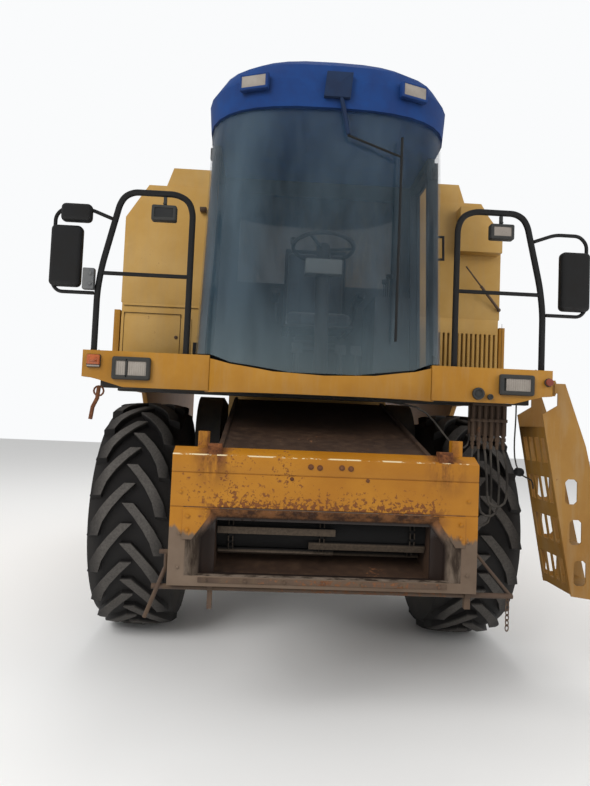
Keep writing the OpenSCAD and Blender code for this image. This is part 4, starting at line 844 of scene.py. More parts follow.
    @classmethod
    def rounded(cls, corners: list[Vector], radius: float, steps: int = 6) -> list[Vector]:
        """Rounds the corners of a line as a tube bender does.

        Args:
            corners: The line's corners.
            radius: How far before and after each corner the bend starts and ends at most.
            steps: Points laid in each bend.

        Returns:
            The line with its bends.
        """
        line = [corners[0]]
        for before, corner, after in zip(corners, corners[1:], corners[2:]):
            reach = min(radius, (before - corner).length * 0.48, (after - corner).length * 0.48)
            start = corner + (before - corner).normalized() * reach
            end = corner + (after - corner).normalized() * reach
            for i in range(steps + 1):
                t = i / steps
                line.append(start * (1 - t) ** 2 + corner * 2 * t * (1 - t) + end * t ** 2)
        return [*line, corners[-1]]

    @classmethod
    def copies(cls, first: Piece, shifts: list[Vector]) -> Piece:
        """Copies a piece to more places and joins the copies with it.

        Args:
            first: The piece to repeat.
            shifts: Where each copy lies, counted from the first.

        Returns:
            The joined piece.
        """
        group = [first]
        for shift in shifts:
            twin = first.copy()
            twin.data = first.data.copy()
            twin.data.transform(Matrix.Translation(shift))
            bpy.context.scene.collection.objects.link(twin)
            group.append(twin)
        return cls.join(first.name, group)

    @classmethod
    def join(cls, name: str, group: list[Piece]) -> Piece:
        """Joins several pieces into the first.

        Args:
            name: The joined piece's name.
            group: The pieces.

        Returns:
            The joined piece.
        """
        cls.clear()
        for piece in group:
            piece.select_set(True)
        bpy.context.view_layer.objects.active = group[0]
        if len(group) > 1:
            bpy.ops.object.join()
        made = bpy.context.object
        made.name = name
        return made

    @staticmethod
    def finish(piece: Piece, finish: Finish, slot: str, body: str = "root") -> Piece:
        """Paints a piece and sets it on its body.

        Args:
            piece: The piece.
            finish: Its finish.
            slot: The record's material slot; not used.
            body: The body that carries it.

        Returns:
            The piece.
        """
        piece.data.materials.clear()
        piece.data.materials.append(material(finish))
        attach(piece, body)
        return piece


@dataclass
class HangingCords:
    """Hydraulic hoses that hang in loops from their pipes, the cable under the cab and the lamp's cable."""

    hose: float = 0.016
    cable: float = 0.012
    lead: float = 0.010
    # A hose loop: how far each point lies across from its first pipe, then each hose's first pipe and its depths
    # and heights down to the lowest point. The other side comes up through the same. All in millimetres, counted
    # from the middle of the drive axle on the ground.
    loop_across: tuple[int, ...] = (0, 0, -3, -6, -7, -4, 0, 12, 44, 82, 114, 126, 129, 131, 130, 127, 126, 126)
    inner_drop: tuple[int, Pairs] = (
        1050, ((-1182, 1589.6), (-1184, 1545), (-1188, 1484), (-1193, 1388), (-1198, 1282), (-1198, 1175),
               (-1198, 1108), (-1198, 1071), (-1198, 1048)))
    middle_drop: tuple[int, Pairs] = (
        1092, ((-1182, 1589.6), (-1184, 1545), (-1199, 1499), (-1215, 1416), (-1228, 1324), (-1228, 1233),
               (-1228, 1175), (-1228, 1138), (-1228, 1115)))
    outer_drop: tuple[int, Pairs] = (
        1134, ((-1182, 1589.6), (-1184, 1545), (-1210, 1513), (-1236, 1443), (-1258, 1367), (-1258, 1290),
               (-1258, 1241), (-1258, 1204), (-1258, 1181)))
    # Points along the two cables
    cab_line: Points = (
        (100, -1400, 1899.6), (101, -1400, 1886), (112, -1400, 1872), (160, -1399, 1858), (240, -1398, 1848),
        (340, -1396, 1838), (440, -1393, 1828), (540, -1388, 1818), (620, -1380, 1802), (690, -1366, 1766),
        (750, -1346, 1712), (810, -1318, 1648), (870, -1284, 1592), (930, -1250, 1560), (982, -1222, 1556),
        (1010, -1201, 1574), (1024, -1187, 1606), (1030, -1179, 1650))
    plug_line: Points = (
        (1330, -1215, 1849.6), (1330, -1215, 1800), (1329, -1214, 1740), (1327, -1213, 1680), (1325, -1212, 1620),
        (1326, -1210, 1560), (1331, -1208, 1505), (1343, -1206, 1455), (1363, -1205, 1408), (1385, -1204, 1388),
        (1408, -1203, 1376), (1430, -1202, 1367), (1448, -1201, 1357), (1458, -1200, 1342), (1462, -1200, 1322),
        (1463, -1200, 1300))

    def loop(self, drop: tuple[int, Pairs]) -> Points:
        """Lays out a hose's loop from its first pipe and its way down."""
        first, levels = drop
        return tuple((first + x, y, z) for x, (y, z) in zip(self.loop_across, (*levels, *reversed(levels))))

    def line(self, name: str, route: Points, thick: float, node: str, far_end: str,
             pieces: tuple[Piece, ...] = ()) -> Piece:
        """Args:
            name: The cord's name.
            route: Its points, in millimetres from the drive axle's middle.
            thick: Its diameter.
            node: The solid that it stands for.
            far_end: What its far end is; not used.
            pieces: The pieces on it; not used.

        Returns:
            The cord, a curve of one open spline.
        """
        Bench.clear()
        bpy.ops.curve.primitive_bezier_curve_add()
        made = bpy.context.object
        made.name = name
        curve = made.data
        curve.splines.clear()
        strand = curve.splines.new("POLY")
        spots = [place(x * MM, y * MM, z * MM) for x, y, z in route]
        strand.points.add(len(spots) - 1)
        for knot, spot in zip(strand.points, spots):
            knot.co = (*spot, 1.0)
        curve.dimensions, curve.use_fill_caps = "3D", True
        curve.bevel_depth, curve.bevel_resolution = thick / 2, 3
        made.location, made.rotation_euler = (0.0, 0.0, 0.0), (0.0, 0.0, 0.0)
        Bench.finish(made, HOSE_BRAID, "hose_rubber")
        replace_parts(made, node)
        return made

    def plug(self) -> Piece:
        """Models the round coupling half way down the lamp cable: a ribbed sleeve with a flange."""
        x, y, z = self.plug_line[8]
        back, front = place(x * MM, -1.178, z * MM), place(x * MM, -1.235, z * MM)
        sleeve = Bench.disc("cable_coupling", back, front, 0.024, 20, 0.002)
        Bench.recess(sleeve, FRONT, 0.005, 0.014)
        rings = [
            Bench.disc("ring", back + (front - back) * t, back + (front - back) * (t + 0.12), 0.028, 20, 0.0015)
            for t in (0.05, 0.4, 0.75)]
        return Bench.finish(Bench.join("cable_coupling", [sleeve, *rings]), PLASTIC, "hose_rubber")

    def sleeves(self) -> None:
        """Puts a crimped sleeve and a nut on each hose's ends."""
        group = []
        for drop in (self.inner_drop, self.middle_drop, self.outer_drop):
            route = self.loop(drop)
            for end, into in ((route[0], route[1]), (route[-1], route[-2])):
                top, low = (place(*(v * MM for v in p)) for p in (end, into))
                run = (low - top).normalized()
                group.append(Bench.disc("hose_end", top, top + run * 0.040, 0.0105, 12, 0.0015))
                group.append(Bench.disc("hose_end", top, top + run * 0.014, 0.0145, 6, 0.0012))
        Bench.finish(Bench.join("hose_sleeves", group), BARE_STEEL, "hose_rubber")

    def build(self) -> None:
        """Lays every cord."""
        self.line("hydraulic_hose_inner", self.loop(self.inner_drop), self.hose, "hose_inner", "object")
        self.line("hydraulic_hose_middle", self.loop(self.middle_drop), self.hose, "hose_middle", "object")
        self.line("hydraulic_hose_outer", self.loop(self.outer_drop), self.hose, "hose_outer", "object")
        self.line("under_cab_cable", self.cab_line, self.cable, "cab_cable", "object")
        self.line("lamp_cable", self.plug_line, self.lead, "plug_cable", "bare", (self.plug(),))
        self.sleeves()


@dataclass
class LampSet:
    """Lamps on the platform's panels, the hand rails, the cab roof and the rear, and the wiper's mouldings."""

    panel_y: float = -1.4553
    headlamp_depth: float = 0.030
    # Across, up, width and height of the headlamps; across, up and radius of the trailer sockets
    headlamp_bodies: tuple[tuple[float, ...], ...] = ((-1.160, 1.962, 0.235, 0.140), (1.225, 1.965, 0.225, 0.130))
    sockets: tuple[tuple[float, ...], ...] = ((0.984, 1.902, 0.038), (1.060, 1.884, 0.018))
    rear_x: float = 1.325
    roof_lamp: Point = (0.480, -1.5882, 3.715)
    roof_turn: float = 20
    # Where each work lamp hangs and whether its lens has gone dark, and the height of both
    hung: tuple[tuple[float, bool], ...] = ((-1.020, True), (1.125, False))
    hung_z: float = 2.945
    shells: list[Piece] = field(default_factory=list)
    lenses: list[Piece] = field(default_factory=list)
    brow: list[Piece] = field(default_factory=list)

    def shell(
            self, x: float, y: float, z: float, wide: float, high: float, deep: float, rim: float = 0.012,
            round_edge: float = 0.010) -> None:
        """Models a moulded lamp body that is open to the front.

        Args:
            x: Its middle.
            y: Its back.
            z: Its middle's height.
            wide: Its width.
            high: Its height.
            deep: How far it stands forward.
            rim: Width of its front rim.
            round_edge: Radius of its corners.
        """
        body = Bench.block(
            "lamp_body", place(x - wide / 2, y - deep, z - high / 2), place(x + wide / 2, y, z + high / 2),
            round_edge, 3)
        self.shells.append(Bench.recess(body, FRONT, rim, min(0.012, deep * 0.4)))

    def lens(self, x: float, y: float, z: float, wide: float, high: float, flutes: int, sag: float = 0.006) -> Piece:
        """Models a fluted lens whose middle stands forward.

        Args:
            x: Its middle.
            y: Its front face before it is crowned.
            z: Its middle's height.
            wide: Its width.
            high: Its height.
            flutes: Upright ribs in it.
            sag: How far its middle stands forward.

        Returns:
            The lens.
        """
        step = wide / flutes
        rib = Bench.block(
            "lens", place(x - wide / 2, y, z - high / 2), place(x - wide / 2 + step, y + 0.008, z + high / 2),
            min(step * 0.12, 0.004), 2)
        made = Bench.copies(rib, [Vector((step * i, 0.0, 0.0)) for i in range(1, flutes)]) if flutes > 1 else rib
        Bench.pick(made)
        bpy.ops.mesh.subdivide(number_cuts=1 if flutes > 1 else 7)
        Bench.close()
        centre = place(x, y, z)
        for corner in made.data.vertices:
            off = corner.co - centre
            corner.co.y -= sag * max(0.0, 1 - (off.x / wide * 2) ** 2) * max(0.0, 1 - (off.z / high * 2) ** 2)
        return made

    def headlamps(self) -> None:
        """Builds the two headlamps: the left one has a bar across its lens, the right one a wide inner side."""
        front = self.panel_y - self.headlamp_depth
        for x, z, wide, high in self.headlamp_bodies:
            self.shell(x, self.panel_y, z, wide, high, self.headlamp_depth, 0.012, 0.014)
        self.shells.append(Bench.block(
            "lamp_bar", place(-1.1925, front, 1.900), place(-1.1815, front + 0.014, 2.024), 0.002))
        self.shells.append(Bench.wedge(
            "lamp_cheek", place(1.115, front, 1.905), place(1.152, front + 0.020, 2.025),
            [(place(1.152, front + 0.018, 1.965), Vector((0.5, -1.0, 0.0)).normalized())], 0.002))
        pale = [
            self.lens(-1.2275, front + 0.006, 1.962, 0.066, 0.110, 5, 0.003),
            self.lens(-1.1205, front + 0.006, 1.962, 0.118, 0.110, 9, 0.004),
            self.lens(1.241, front + 0.006, 1.965, 0.170, 0.102, 12, 0.004)]
        Bench.finish(Bench.join("headlamp_lenses", pale), LENS_GREY, "lamp_glass")

    def signals(self) -> None:
        """Builds the amber signal with its clear lower strip, and the worn red lamp at the other end."""
        front = self.panel_y - 0.025
        self.shell(-1.390, self.panel_y, 2.000, 0.084, 0.080, 0.012, 0.004, 0.008)
        amber = Bench.block(
            "amber_signal_lens", place(-1.429, front, 1.976), place(-1.351, front + 0.020, 2.037), 0.007, 3)
        strip = Bench.block(
            "pale_strip", place(-1.428, front + 0.003, 1.963), place(-1.352, front + 0.020, 1.974), 0.003)
        Bench.finish(Bench.recess(amber, FRONT, 0.008, -0.0015), LENS_AMBER, "lamp_glass")
        Bench.finish(strip, LENS_GREY, "lamp_glass")
        red = Bench.disc(
            "red_lamp_lens", place(1.432, self.panel_y - 0.010, 1.990), place(1.432, self.panel_y - 0.029, 1.990),
            0.024, 28, 0.006)
        rim = Bench.disc(
            "red_lamp_body", place(1.432, self.panel_y, 1.990), place(1.432, self.panel_y - 0.013, 1.990), 0.027, 28,
            0.003)
        rear = [
            Bench.block("rear_lens", place(x - 0.070, 4.570, 2.510), place(x + 0.070, 4.589, 2.570), 0.006, 3)
            for x in (-self.rear_x, self.rear_x)]
        for x in (-self.rear_x, self.rear_x):
            self.shells.append(Bench.block(
                "rear_body", place(x - 0.075, 4.5503, 2.500), place(x + 0.075, 4.572, 2.580), 0.006))
        Bench.finish(Bench.join("red_lamp_lenses", [red, *rear]), LENS_RED, "lamp_glass")
        self.shells.append(rim)
        for x, z, radius in self.sockets:
            socket = Bench.disc(
                "trailer_socket", place(x, self.panel_y, z), place(x, self.panel_y - 0.022, z), radius, 28, 0.003)
            self.shells.append(Bench.recess(socket, FRONT, radius * 0.25, 0.006))

    def roof_lamps(self) -> None:
        """Sets the two lamps into the cab roof's brow, turned outwards as the brow is."""
        for side in (-1, 1):
            turn = Matrix.Rotation(math.radians(self.roof_turn * side), 4, "Z")
            centre = place(self.roof_lamp[0] * side, *self.roof_lamp[1:])
            body = Bench.block(
                "roof_lamp_body", Vector((-0.092, -0.038, -0.050)), Vector((0.092, 0.0, 0.050)), 0.008, 3)
            Bench.recess(body, FRONT, 0.007, 0.008)
            glass = Bench.block(
                "roof_lamp_lens", Vector((-0.084, -0.036, -0.042)), Vector((0.084, -0.026, 0.042)), 0.004, 3)
            for piece in (body, glass):
                piece.data.transform(Matrix.Translation(centre) @ turn)
            self.brow.append(body)
            self.lenses.append(glass)

    def work_lamps(self) -> None:
        """Hangs the two work lamps under the handrails: the left one dark, the right one with its pale reflector."""
        for x, dark in self.hung:
            self.shell(x, -1.380, self.hung_z, 0.155, 0.100, 0.060, 0.008, 0.012)
            self.shells.append(Bench.block(
                "lamp_stem", place(x - 0.010, -1.410, 2.985), place(x + 0.010, -1.390, 3.055), 0.002))
            self.shells.append(Bench.bolt("lamp_bolt", place(x, -1.410, 3.010), FRONT, 0.014))
            glass = self.lens(x, -1.434, self.hung_z, 0.137, 0.083, 1, 0.006)
            if dark:
                Bench.finish(glass, LENS_DARK, "lamp_glass").name = "dark_work_lens"
            else:
                self.lenses.append(glass)

    def build(self) -> None:
        """Builds every lamp in the place of its plain solid."""
        self.headlamps()
        self.signals()
        self.roof_lamps()
        self.work_lamps()
        Bench.finish(Bench.join("pale_lamp_lenses", self.lenses), LENS_GREY, "lamp_glass")
        cover = Bench.wedge(
            "wiper_cover", place(-0.068, -1.677, 3.622), place(0.104, -1.6455, 3.778),
            [(place(-0.068, -1.66, 3.622), Vector((-0.995, 0.0, 0.098))),
             (place(0.092, -1.66, 3.622), Vector((0.997, 0.0, -0.079)))], 0.005)
        arm = Bench.rod(
            "wiper_arm", [place(0.030, -1.661, 3.660), place(0.062, -1.659, 3.530), place(0.090, -1.657, 3.405)],
            0.013, 12)
        Bench.finish(Bench.join("wiper_mouldings", [cover, arm]), WIPER_NAVY, "black_plastic")
        Bench.finish(Bench.join("roof_lamp_bodies", self.brow), ROOF_BLUE, "roof_blue")
        bodies = Bench.finish(Bench.join("lamp_bodies", self.shells), LAMP_SHELL, "lamp_glass")
        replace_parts(bodies, "lamps")
        LOG.info("built the lamps")


@dataclass
class DriverSeat:
    """Sprung seat with a stitched cushion, a stitched back and two arm rests, on its box."""

    swell_steps: int = 20
    pressure: float = 4.0
    voxel: float = 0.009
    most_swell: float = 0.014
    seams: tuple[float, ...] = (-0.28, 0.0, 0.28)  # shares of the cushion's width, counted from its middle
    seam_width: float = 0.014
    bellows: Pairs = ((-0.158, -0.908), (0.158, -0.908), (0.158, -0.642), (-0.158, -0.642), (-0.158, -0.908))

    def padded(self, name: str, low: Vector, high: Vector, pull: float, tip: float = 0.0) -> Piece:
        """Blows up a slightly smaller cushion shape until its cloth is tight.

        Args:
            name: The cushion's name.
            low: Lowest corner of its shape.
            high: Highest corner of its shape.
            pull: How far its seams are pulled in.
            tip: How far its top leans back, in degrees.

        Returns:
            The cushion.
        """
        pad = Bench.block(name, low, high, 0.030, 4)
        Bench.pick(pad)
        bpy.ops.mesh.subdivide(number_cuts=2)
        Bench.close()
        remesh = pad.modifiers.new("skin", "REMESH")
        remesh.mode, remesh.voxel_size = "VOXEL", self.voxel
        bpy.ops.object.modifier_apply(modifier="skin")
        before = [corner.co.copy() for corner in pad.data.vertices]
        cloth = pad.modifiers.new("cloth", "CLOTH")
        cloth.settings.use_pressure, cloth.settings.uniform_pressure_force = True, self.pressure
        cloth.settings.effector_weights.gravity = 0.0
        for step in range(1, self.swell_steps + 1):
            bpy.context.scene.frame_set(step)
        bpy.ops.object.modifier_apply(modifier="cloth")
        bpy.context.scene.frame_set(1)
        for corner, start in zip(pad.data.vertices, before):
            move = corner.co - start
            if move.length > self.most_swell:
                corner.co = start + move.normalized() * self.most_swell
        middle, size = (low + high) / 2, high - low
        for corner in pad.data.vertices:
            off = corner.co - middle
            for seam in self.seams:
                near = abs(off.x / size.x - seam) * size.x
                if near < self.seam_width:
                    away = off.normalized() if off.length else Vector()
                    corner.co -= away * pull * (1 - near / self.seam_width)
        if tip:
            foot = Vector((middle.x, middle.y, low.z))
            lean = Matrix.Rotation(math.radians(-tip), 4, "X")
            pad.data.transform(Matrix.Translation(foot) @ lean @ Matrix.Translation(-foot))
        smooth = pad.modifiers.new("round", "SUBSURF")
        smooth.levels = smooth.render_levels = 1
        pad.data.polygons.foreach_set("use_smooth", [True] * len(pad.data.polygons))
        Bench.finish(pad, SEAT_CLOTH, "seat_fabric")
        return pad

    def build(self) -> None:
        """Builds the seat in the place of its plain solid."""
        self.padded("seat_cushion", place(-0.235, -1.055, 2.352), place(0.235, -0.600, 2.432), 0.006)
        self.padded("seat_back", place(-0.225, -0.640, 2.462), place(0.225, -0.572, 2.990), 0.006, 5.0)
        frame_parts = [
            Bench.block("seat_box", place(-0.150, -0.900, 1.961), place(0.150, -0.650, 2.300), 0.012),
            Bench.block("seat_pan", place(-0.245, -1.060, 2.330), place(0.245, -0.580, 2.350), 0.008),
            Bench.wedge(
                "back_shell", place(-0.235, -0.562, 2.420), place(0.235, -0.515, 3.010),
                [(place(0.0, -0.562, 2.42), Vector((0.0, -1.0, -0.10)).normalized())], 0.008),
            *(
                Bench.disc("slide_rail", place(x, -0.990, 2.322), place(x, -0.640, 2.322), 0.008, 10)
                for x in (-0.200, 0.200)),
            *(Bench.rod("bellows", [place(x, y, z) for x, y in self.bellows], 0.014, 12) for z in (2.200, 2.245))]
        for side in (-1, 1):
            frame_parts.append(Bench.block(
                "arm_rest", place(side * 0.300 - 0.028, -1.000, 2.562), place(side * 0.300 + 0.028, -0.645, 2.608),
                0.016, 4))
            frame_parts.append(Bench.rod(
                "arm_stay",
                [place(side * 0.278, -0.690, 2.402), place(side * 0.290, -0.690, 2.480),
                 place(side * 0.290, -0.690, 2.575)],
                0.014, 12))
        shell = Bench.finish(Bench.join("seat_frame", frame_parts), PLASTIC, "black_plastic")
        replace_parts(shell, "seat")
        LOG.info("built the seat")


@dataclass
class CabTrim:
    """What a driver has in hand and what holds the glass: wheel knob, levers, pedals, instruments, mat and clips."""

    wheel_centre: Point = (0.0, -1.222, 2.840)
    wheel_radius: float = 0.200
    wheel_tilt: float = -12.0
    levers_x: float = 0.500
    levers_y: tuple[float, ...] = (-1.020, -0.940, -0.860, -0.780)
    pedals_x: tuple[float, ...] = (-0.150, 0.130, 0.230)
    clips: Pairs = ((-0.773, 3.493), (0.767, 3.447), (-0.830, 2.147), (0.813, 2.131))

    def controls(self) -> None:
        """Fits the steering wheel's hub and knob, the levers, the pedals, the instrument box and the floor mat."""
        turn = Matrix.Translation(place(*self.wheel_centre)) @ Matrix.Rotation(math.radians(self.wheel_tilt), 4, "X")
        hub = Bench.disc("wheel_hub", Vector((0.0, 0.0, 0.004)), Vector((0.0, 0.0, 0.018)), 0.040, 28, 0.006)
        knob = Bench.disc(
            "wheel_knob", Vector((-self.wheel_radius, 0.0, 0.012)), Vector((-self.wheel_radius, 0.0, 0.060)), 0.020,
            18, 0.008)
        for piece in (hub, knob):
            piece.data.transform(turn)
        group = [hub, knob]
        for i, y in enumerate(self.levers_y):
            foot = place(self.levers_x, y, 2.558)
            top = place(self.levers_x - 0.010, y - 0.030, 2.700 + 0.020 * (i % 2))
            group.append(Bench.rod("lever", [foot, (foot + top) / 2 + Vector((0.0, 0.008, 0.0)), top], 0.006))
            group.append(Bench.disc(
                "lever_knob", top - Vector((0.0, 0.0, 0.006)), top + Vector((0.0, 0.0, 0.030)), 0.017, 16, 0.007))
            group.append(Bench.block(
                "lever_gate", foot - Vector((0.026, 0.028, 0.002)), foot + Vector((0.026, 0.028, 0.006)), 0.003))
        for x in self.pedals_x:
            group.append(Bench.rod(
                "pedal_arm", [place(x, -1.400, 1.975), place(x, -1.330, 2.080), place(x, -1.300, 2.160)], 0.009))
            group.append(Bench.wedge(
                "pedal", place(x - 0.035, -1.325, 2.120), place(x + 0.035, -1.285, 2.200),
                [(place(x, -1.300, 2.160), Vector((0.0, -0.9, 0.45)).normalized())], 0.003))
        Bench.finish(Bench.join("cab_controls", group), PLASTIC, "black_plastic")
        dash = Bench.wedge(
            "instrument_box", place(-0.120, -1.330, 2.640), place(0.120, -1.240, 2.740),
            [(place(0.0, -1.330, 2.740), Vector((0.0, 0.5, 0.9)).normalized())], 0.008)
        Bench.finish(dash, CAB_GREY, "black_plastic")
        mat = Bench.block("floor_mat", place(-0.560, -1.480, 1.961), place(0.360, -0.560, 1.967), 0.003)
        Bench.pick(mat, lambda middle, normal: normal.z > 0.9)
        bpy.ops.mesh.subdivide(number_cuts=14)
        Bench.close()
        Bench.finish(mat, RUBBER, "black_plastic")

    def seals(self) -> None:
        """Clips the glass to its posts."""
        group = []
        for x, z in self.clips:
            plate = Bench.block(
                "glass_clip", place(x - 0.016, -1.085, z - 0.040), place(x + 0.016, -1.050, z + 0.040), 0.005)
            group.append(plate)
            group.append(Bench.bolt("clip_bolt", place(x, -1.085, z), FRONT, 0.016))
        Bench.finish(Bench.join("glass_clips", group), PLASTIC, "black_plastic")

    def build(self) -> None:
        """Builds the cab's small parts."""
        self.controls()
        self.seals()
        LOG.info("built the cab's trim")


@dataclass
class WheelTrim:
    """Bolts and hub caps of the four wheels."""

    drive_x: float = 1.269
    steer_x: float = 1.250
    drive_face: float = 0.070
    steer_face: float = 0.040
    # Radius of the bolt circle, how many bolts and width of a head; then radius and reach of the hub cap
    drive_bolts: tuple[float, int, float] = (0.150, 10, 0.030)
    steer_bolts: tuple[float, int, float] = (0.090, 6, 0.026)
    drive_cap: tuple[float, float] = (0.085, 0.045)
    steer_cap: tuple[float, float] = (0.055, 0.040)

    def ring(
            self, name: str, centre: Vector, side: int, circle: float, count: int, across: float,
            turn: float = 0.0) -> Piece:
        """Sets a ring of wheel bolts.

        Args:
            name: The ring's name.
            centre: Its middle, on the rim's face.
            side: 1 for the machine's left and -1 for its right.
            circle: Radius of the bolt circle.
            count: How many bolts.
            across: Width of a bolt's head.
            turn: Angle of the first bolt, in degrees.

        Returns:
            The ring.
        """
        out = LEFT * side
        group = []
        for i in range(count):
            angle = math.radians(turn + 360 * i / count)
            at = centre + Vector((0.0, circle * math.cos(angle), circle * math.sin(angle)))
            group.append(Bench.bolt(name, at, out, across))
            group.append(Bench.disc(
                name, at + out * across * 0.4, at + out * across * 0.95, across * 0.30, 10, across * 0.05))
        return Bench.join(name, group)

    def wheel(
            self, name: str, body: str, centre: Vector, side: int, face: float, bolts: tuple[float, int, float],
            hub: tuple[float, float]) -> None:
        """Fits one wheel's bolts and hub cap.

        Args:
            name: The piece's name.
            body: The wheel's body.
            centre: Middle of the wheel.
            side: 1 for the machine's left and -1 for its right.
            face: How far the rim's middle face stands out from the wheel's middle.
            bolts: Radius of the bolt circle, how many, and width of a head.
            hub: Radius of the hub cap and how far it stands out.
        """
        out = LEFT * side
        seat = centre + out * face
        ring = self.ring(name, seat, side, bolts[0], bolts[1], bolts[2], 90 / bolts[1])
        Bench.finish(ring, BARE_STEEL, "worn_steel", body).name = name + "_bolts"
        cap = Bench.disc(name + "_hub_cap", seat - out * 0.002, seat + out * hub[1], hub[0], 32, 0.008)
        Bench.recess(cap, out, hub[0] * 0.35, -hub[1] * 0.35)
        Bench.finish(cap, YELLOW, "yellow_paint", body)

    def build(self) -> None:
        """Fits all four wheels."""
        for side, label in ((1, "left"), (-1, "right")):
            self.wheel(
                "drive_" + label, "front_wheel_" + label, place(self.drive_x * side, 0.0, DRIVE_RADIUS), side,
                self.drive_face, self.drive_bolts, self.drive_cap)
            self.wheel(
                "steer_" + label, "rear_wheel_" + label, place(self.steer_x * side, STEER_AXLE_Y, STEER_RADIUS), side,
                self.steer_face, self.steer_bolts, self.steer_cap)
        LOG.info("fitted the wheels")


@dataclass
class FeederTrim:
    """Bolts, gussets, wear strips and the hanging chain of the feeder's front frame."""

    face_y: float = -2.050
    # Middle and height of each bolt on the top beam, and width of its head
    beam_bolts: tuple[tuple[float, ...], ...] = (
        (-0.086, 1.449, 0.018), (-0.039, 1.446, 0.018), (0.075, 1.450, 0.018), (0.122, 1.447, 0.018),
        (-0.181, 1.384, 0.012), (0.212, 1.389, 0.012))
    side_bolts: Pairs = tuple((x, z) for x in (-0.745, 0.745) for z in (0.920, 1.090, 1.300))
    strip_bolts: tuple[float, ...] = tuple(-0.60 + 0.2 * i for i in range(7))
    gusset: tuple[float, float] = (0.590, 0.730)
    chain_top: Point = (0.985, -1.990, 0.812)
    chain_links: int = 7
    link_pitch: float = 0.0265
    link_turn: float = 20

    def fasteners(self) -> None:
        """Sets the bolts of the beam and of the side plates."""
        rusted = [Bench.bolt("beam_bolt", place(x, self.face_y, z), FRONT, wide) for x, z, wide in self.beam_bolts]
        painted = [Bench.bolt("side_bolt", place(x, self.face_y, z), FRONT, 0.013) for x, z in self.side_bolts]
        Bench.finish(Bench.join("beam_bolts", rusted), RUSTED_STEEL, "worn_steel", "feeder")
        Bench.finish(Bench.join("side_bolts", painted), FACE_YELLOW, "yellow_paint", "feeder")

    def gussets(self) -> None:
        """Welds the two corner gussets beside the opening and the worn strips along its edges."""
        plates = []
        for side in (-1, 1):
            low, high = sorted(x * side for x in self.gusset)
            plates.append(Bench.wedge(
                "gusset", place(low, self.face_y - 0.005, 1.060), place(high, self.face_y + 0.001, 1.215),
                [(place(self.gusset[0] * side, self.face_y, 1.190), Vector((-0.82 * side, 0.0, -0.57)))], 0.0015))
            for z in (1.110, 1.180):
                plates.append(Bench.bolt("gusset_bolt", place(0.705 * side, self.face_y - 0.005, z), FRONT, 0.016))
        Bench.finish(Bench.join("corner_gussets", plates), FACE_YELLOW, "yellow_paint", "feeder")
        strips = [
            Bench.wedge(
                "bottom_wear_strip", place(-0.640, self.face_y - 0.004, 0.846),
                place(0.640, self.face_y + 0.001, 0.872), [], 0.0015),
            Bench.wedge(
                "top_wear_strip", place(-0.545, self.face_y - 0.003, 1.2195),
                place(0.545, self.face_y + 0.001, 1.2255), [], 0.001)]
        for x in self.strip_bolts:
            strips.append(Bench.bolt("strip_bolt", place(x, self.face_y - 0.004, 0.859), FRONT, 0.014))
        Bench.finish(Bench.join("wear_strips", strips), BARE_STEEL, "worn_steel", "feeder")

    def chain(self) -> None:
        """Hangs the short chain from the latch shaft: oval links, each turned a quarter from the last."""
        top = place(*self.chain_top)
        group = []
        for i in range(self.chain_links):
            Bench.clear()
            bpy.ops.mesh.primitive_torus_add(
                major_radius=0.0105, minor_radius=0.0028, major_segments=16, minor_segments=8)
            link = bpy.context.object
            bpy.ops.object.mode_set(mode="EDIT")
            bpy.ops.mesh.select_all(action="SELECT")
            bpy.ops.transform.resize(value=(1.0, 1.55, 1.0))
            bpy.ops.object.mode_set(mode="OBJECT")
            stand = Matrix.Rotation(math.radians(90), 4, "X")
            turn = Matrix.Rotation(math.radians(90 * i + self.link_turn), 4, "Z")
            hung = Matrix.Translation(top - Vector((0.0, 0.0, 0.012 + self.link_pitch * i)))
            link.data.transform(hung @ turn @ stand)
            bpy.ops.object.shade_smooth()
            group.append(link)
        Bench.finish(Bench.join("hanging_chain", group), BARE_STEEL, "worn_steel", "feeder")

    def build(self) -> None:
        """Builds the feeder's small parts."""
        self.fasteners()
        self.gussets()
        self.chain()
        LOG.info("built the feeder's trim")


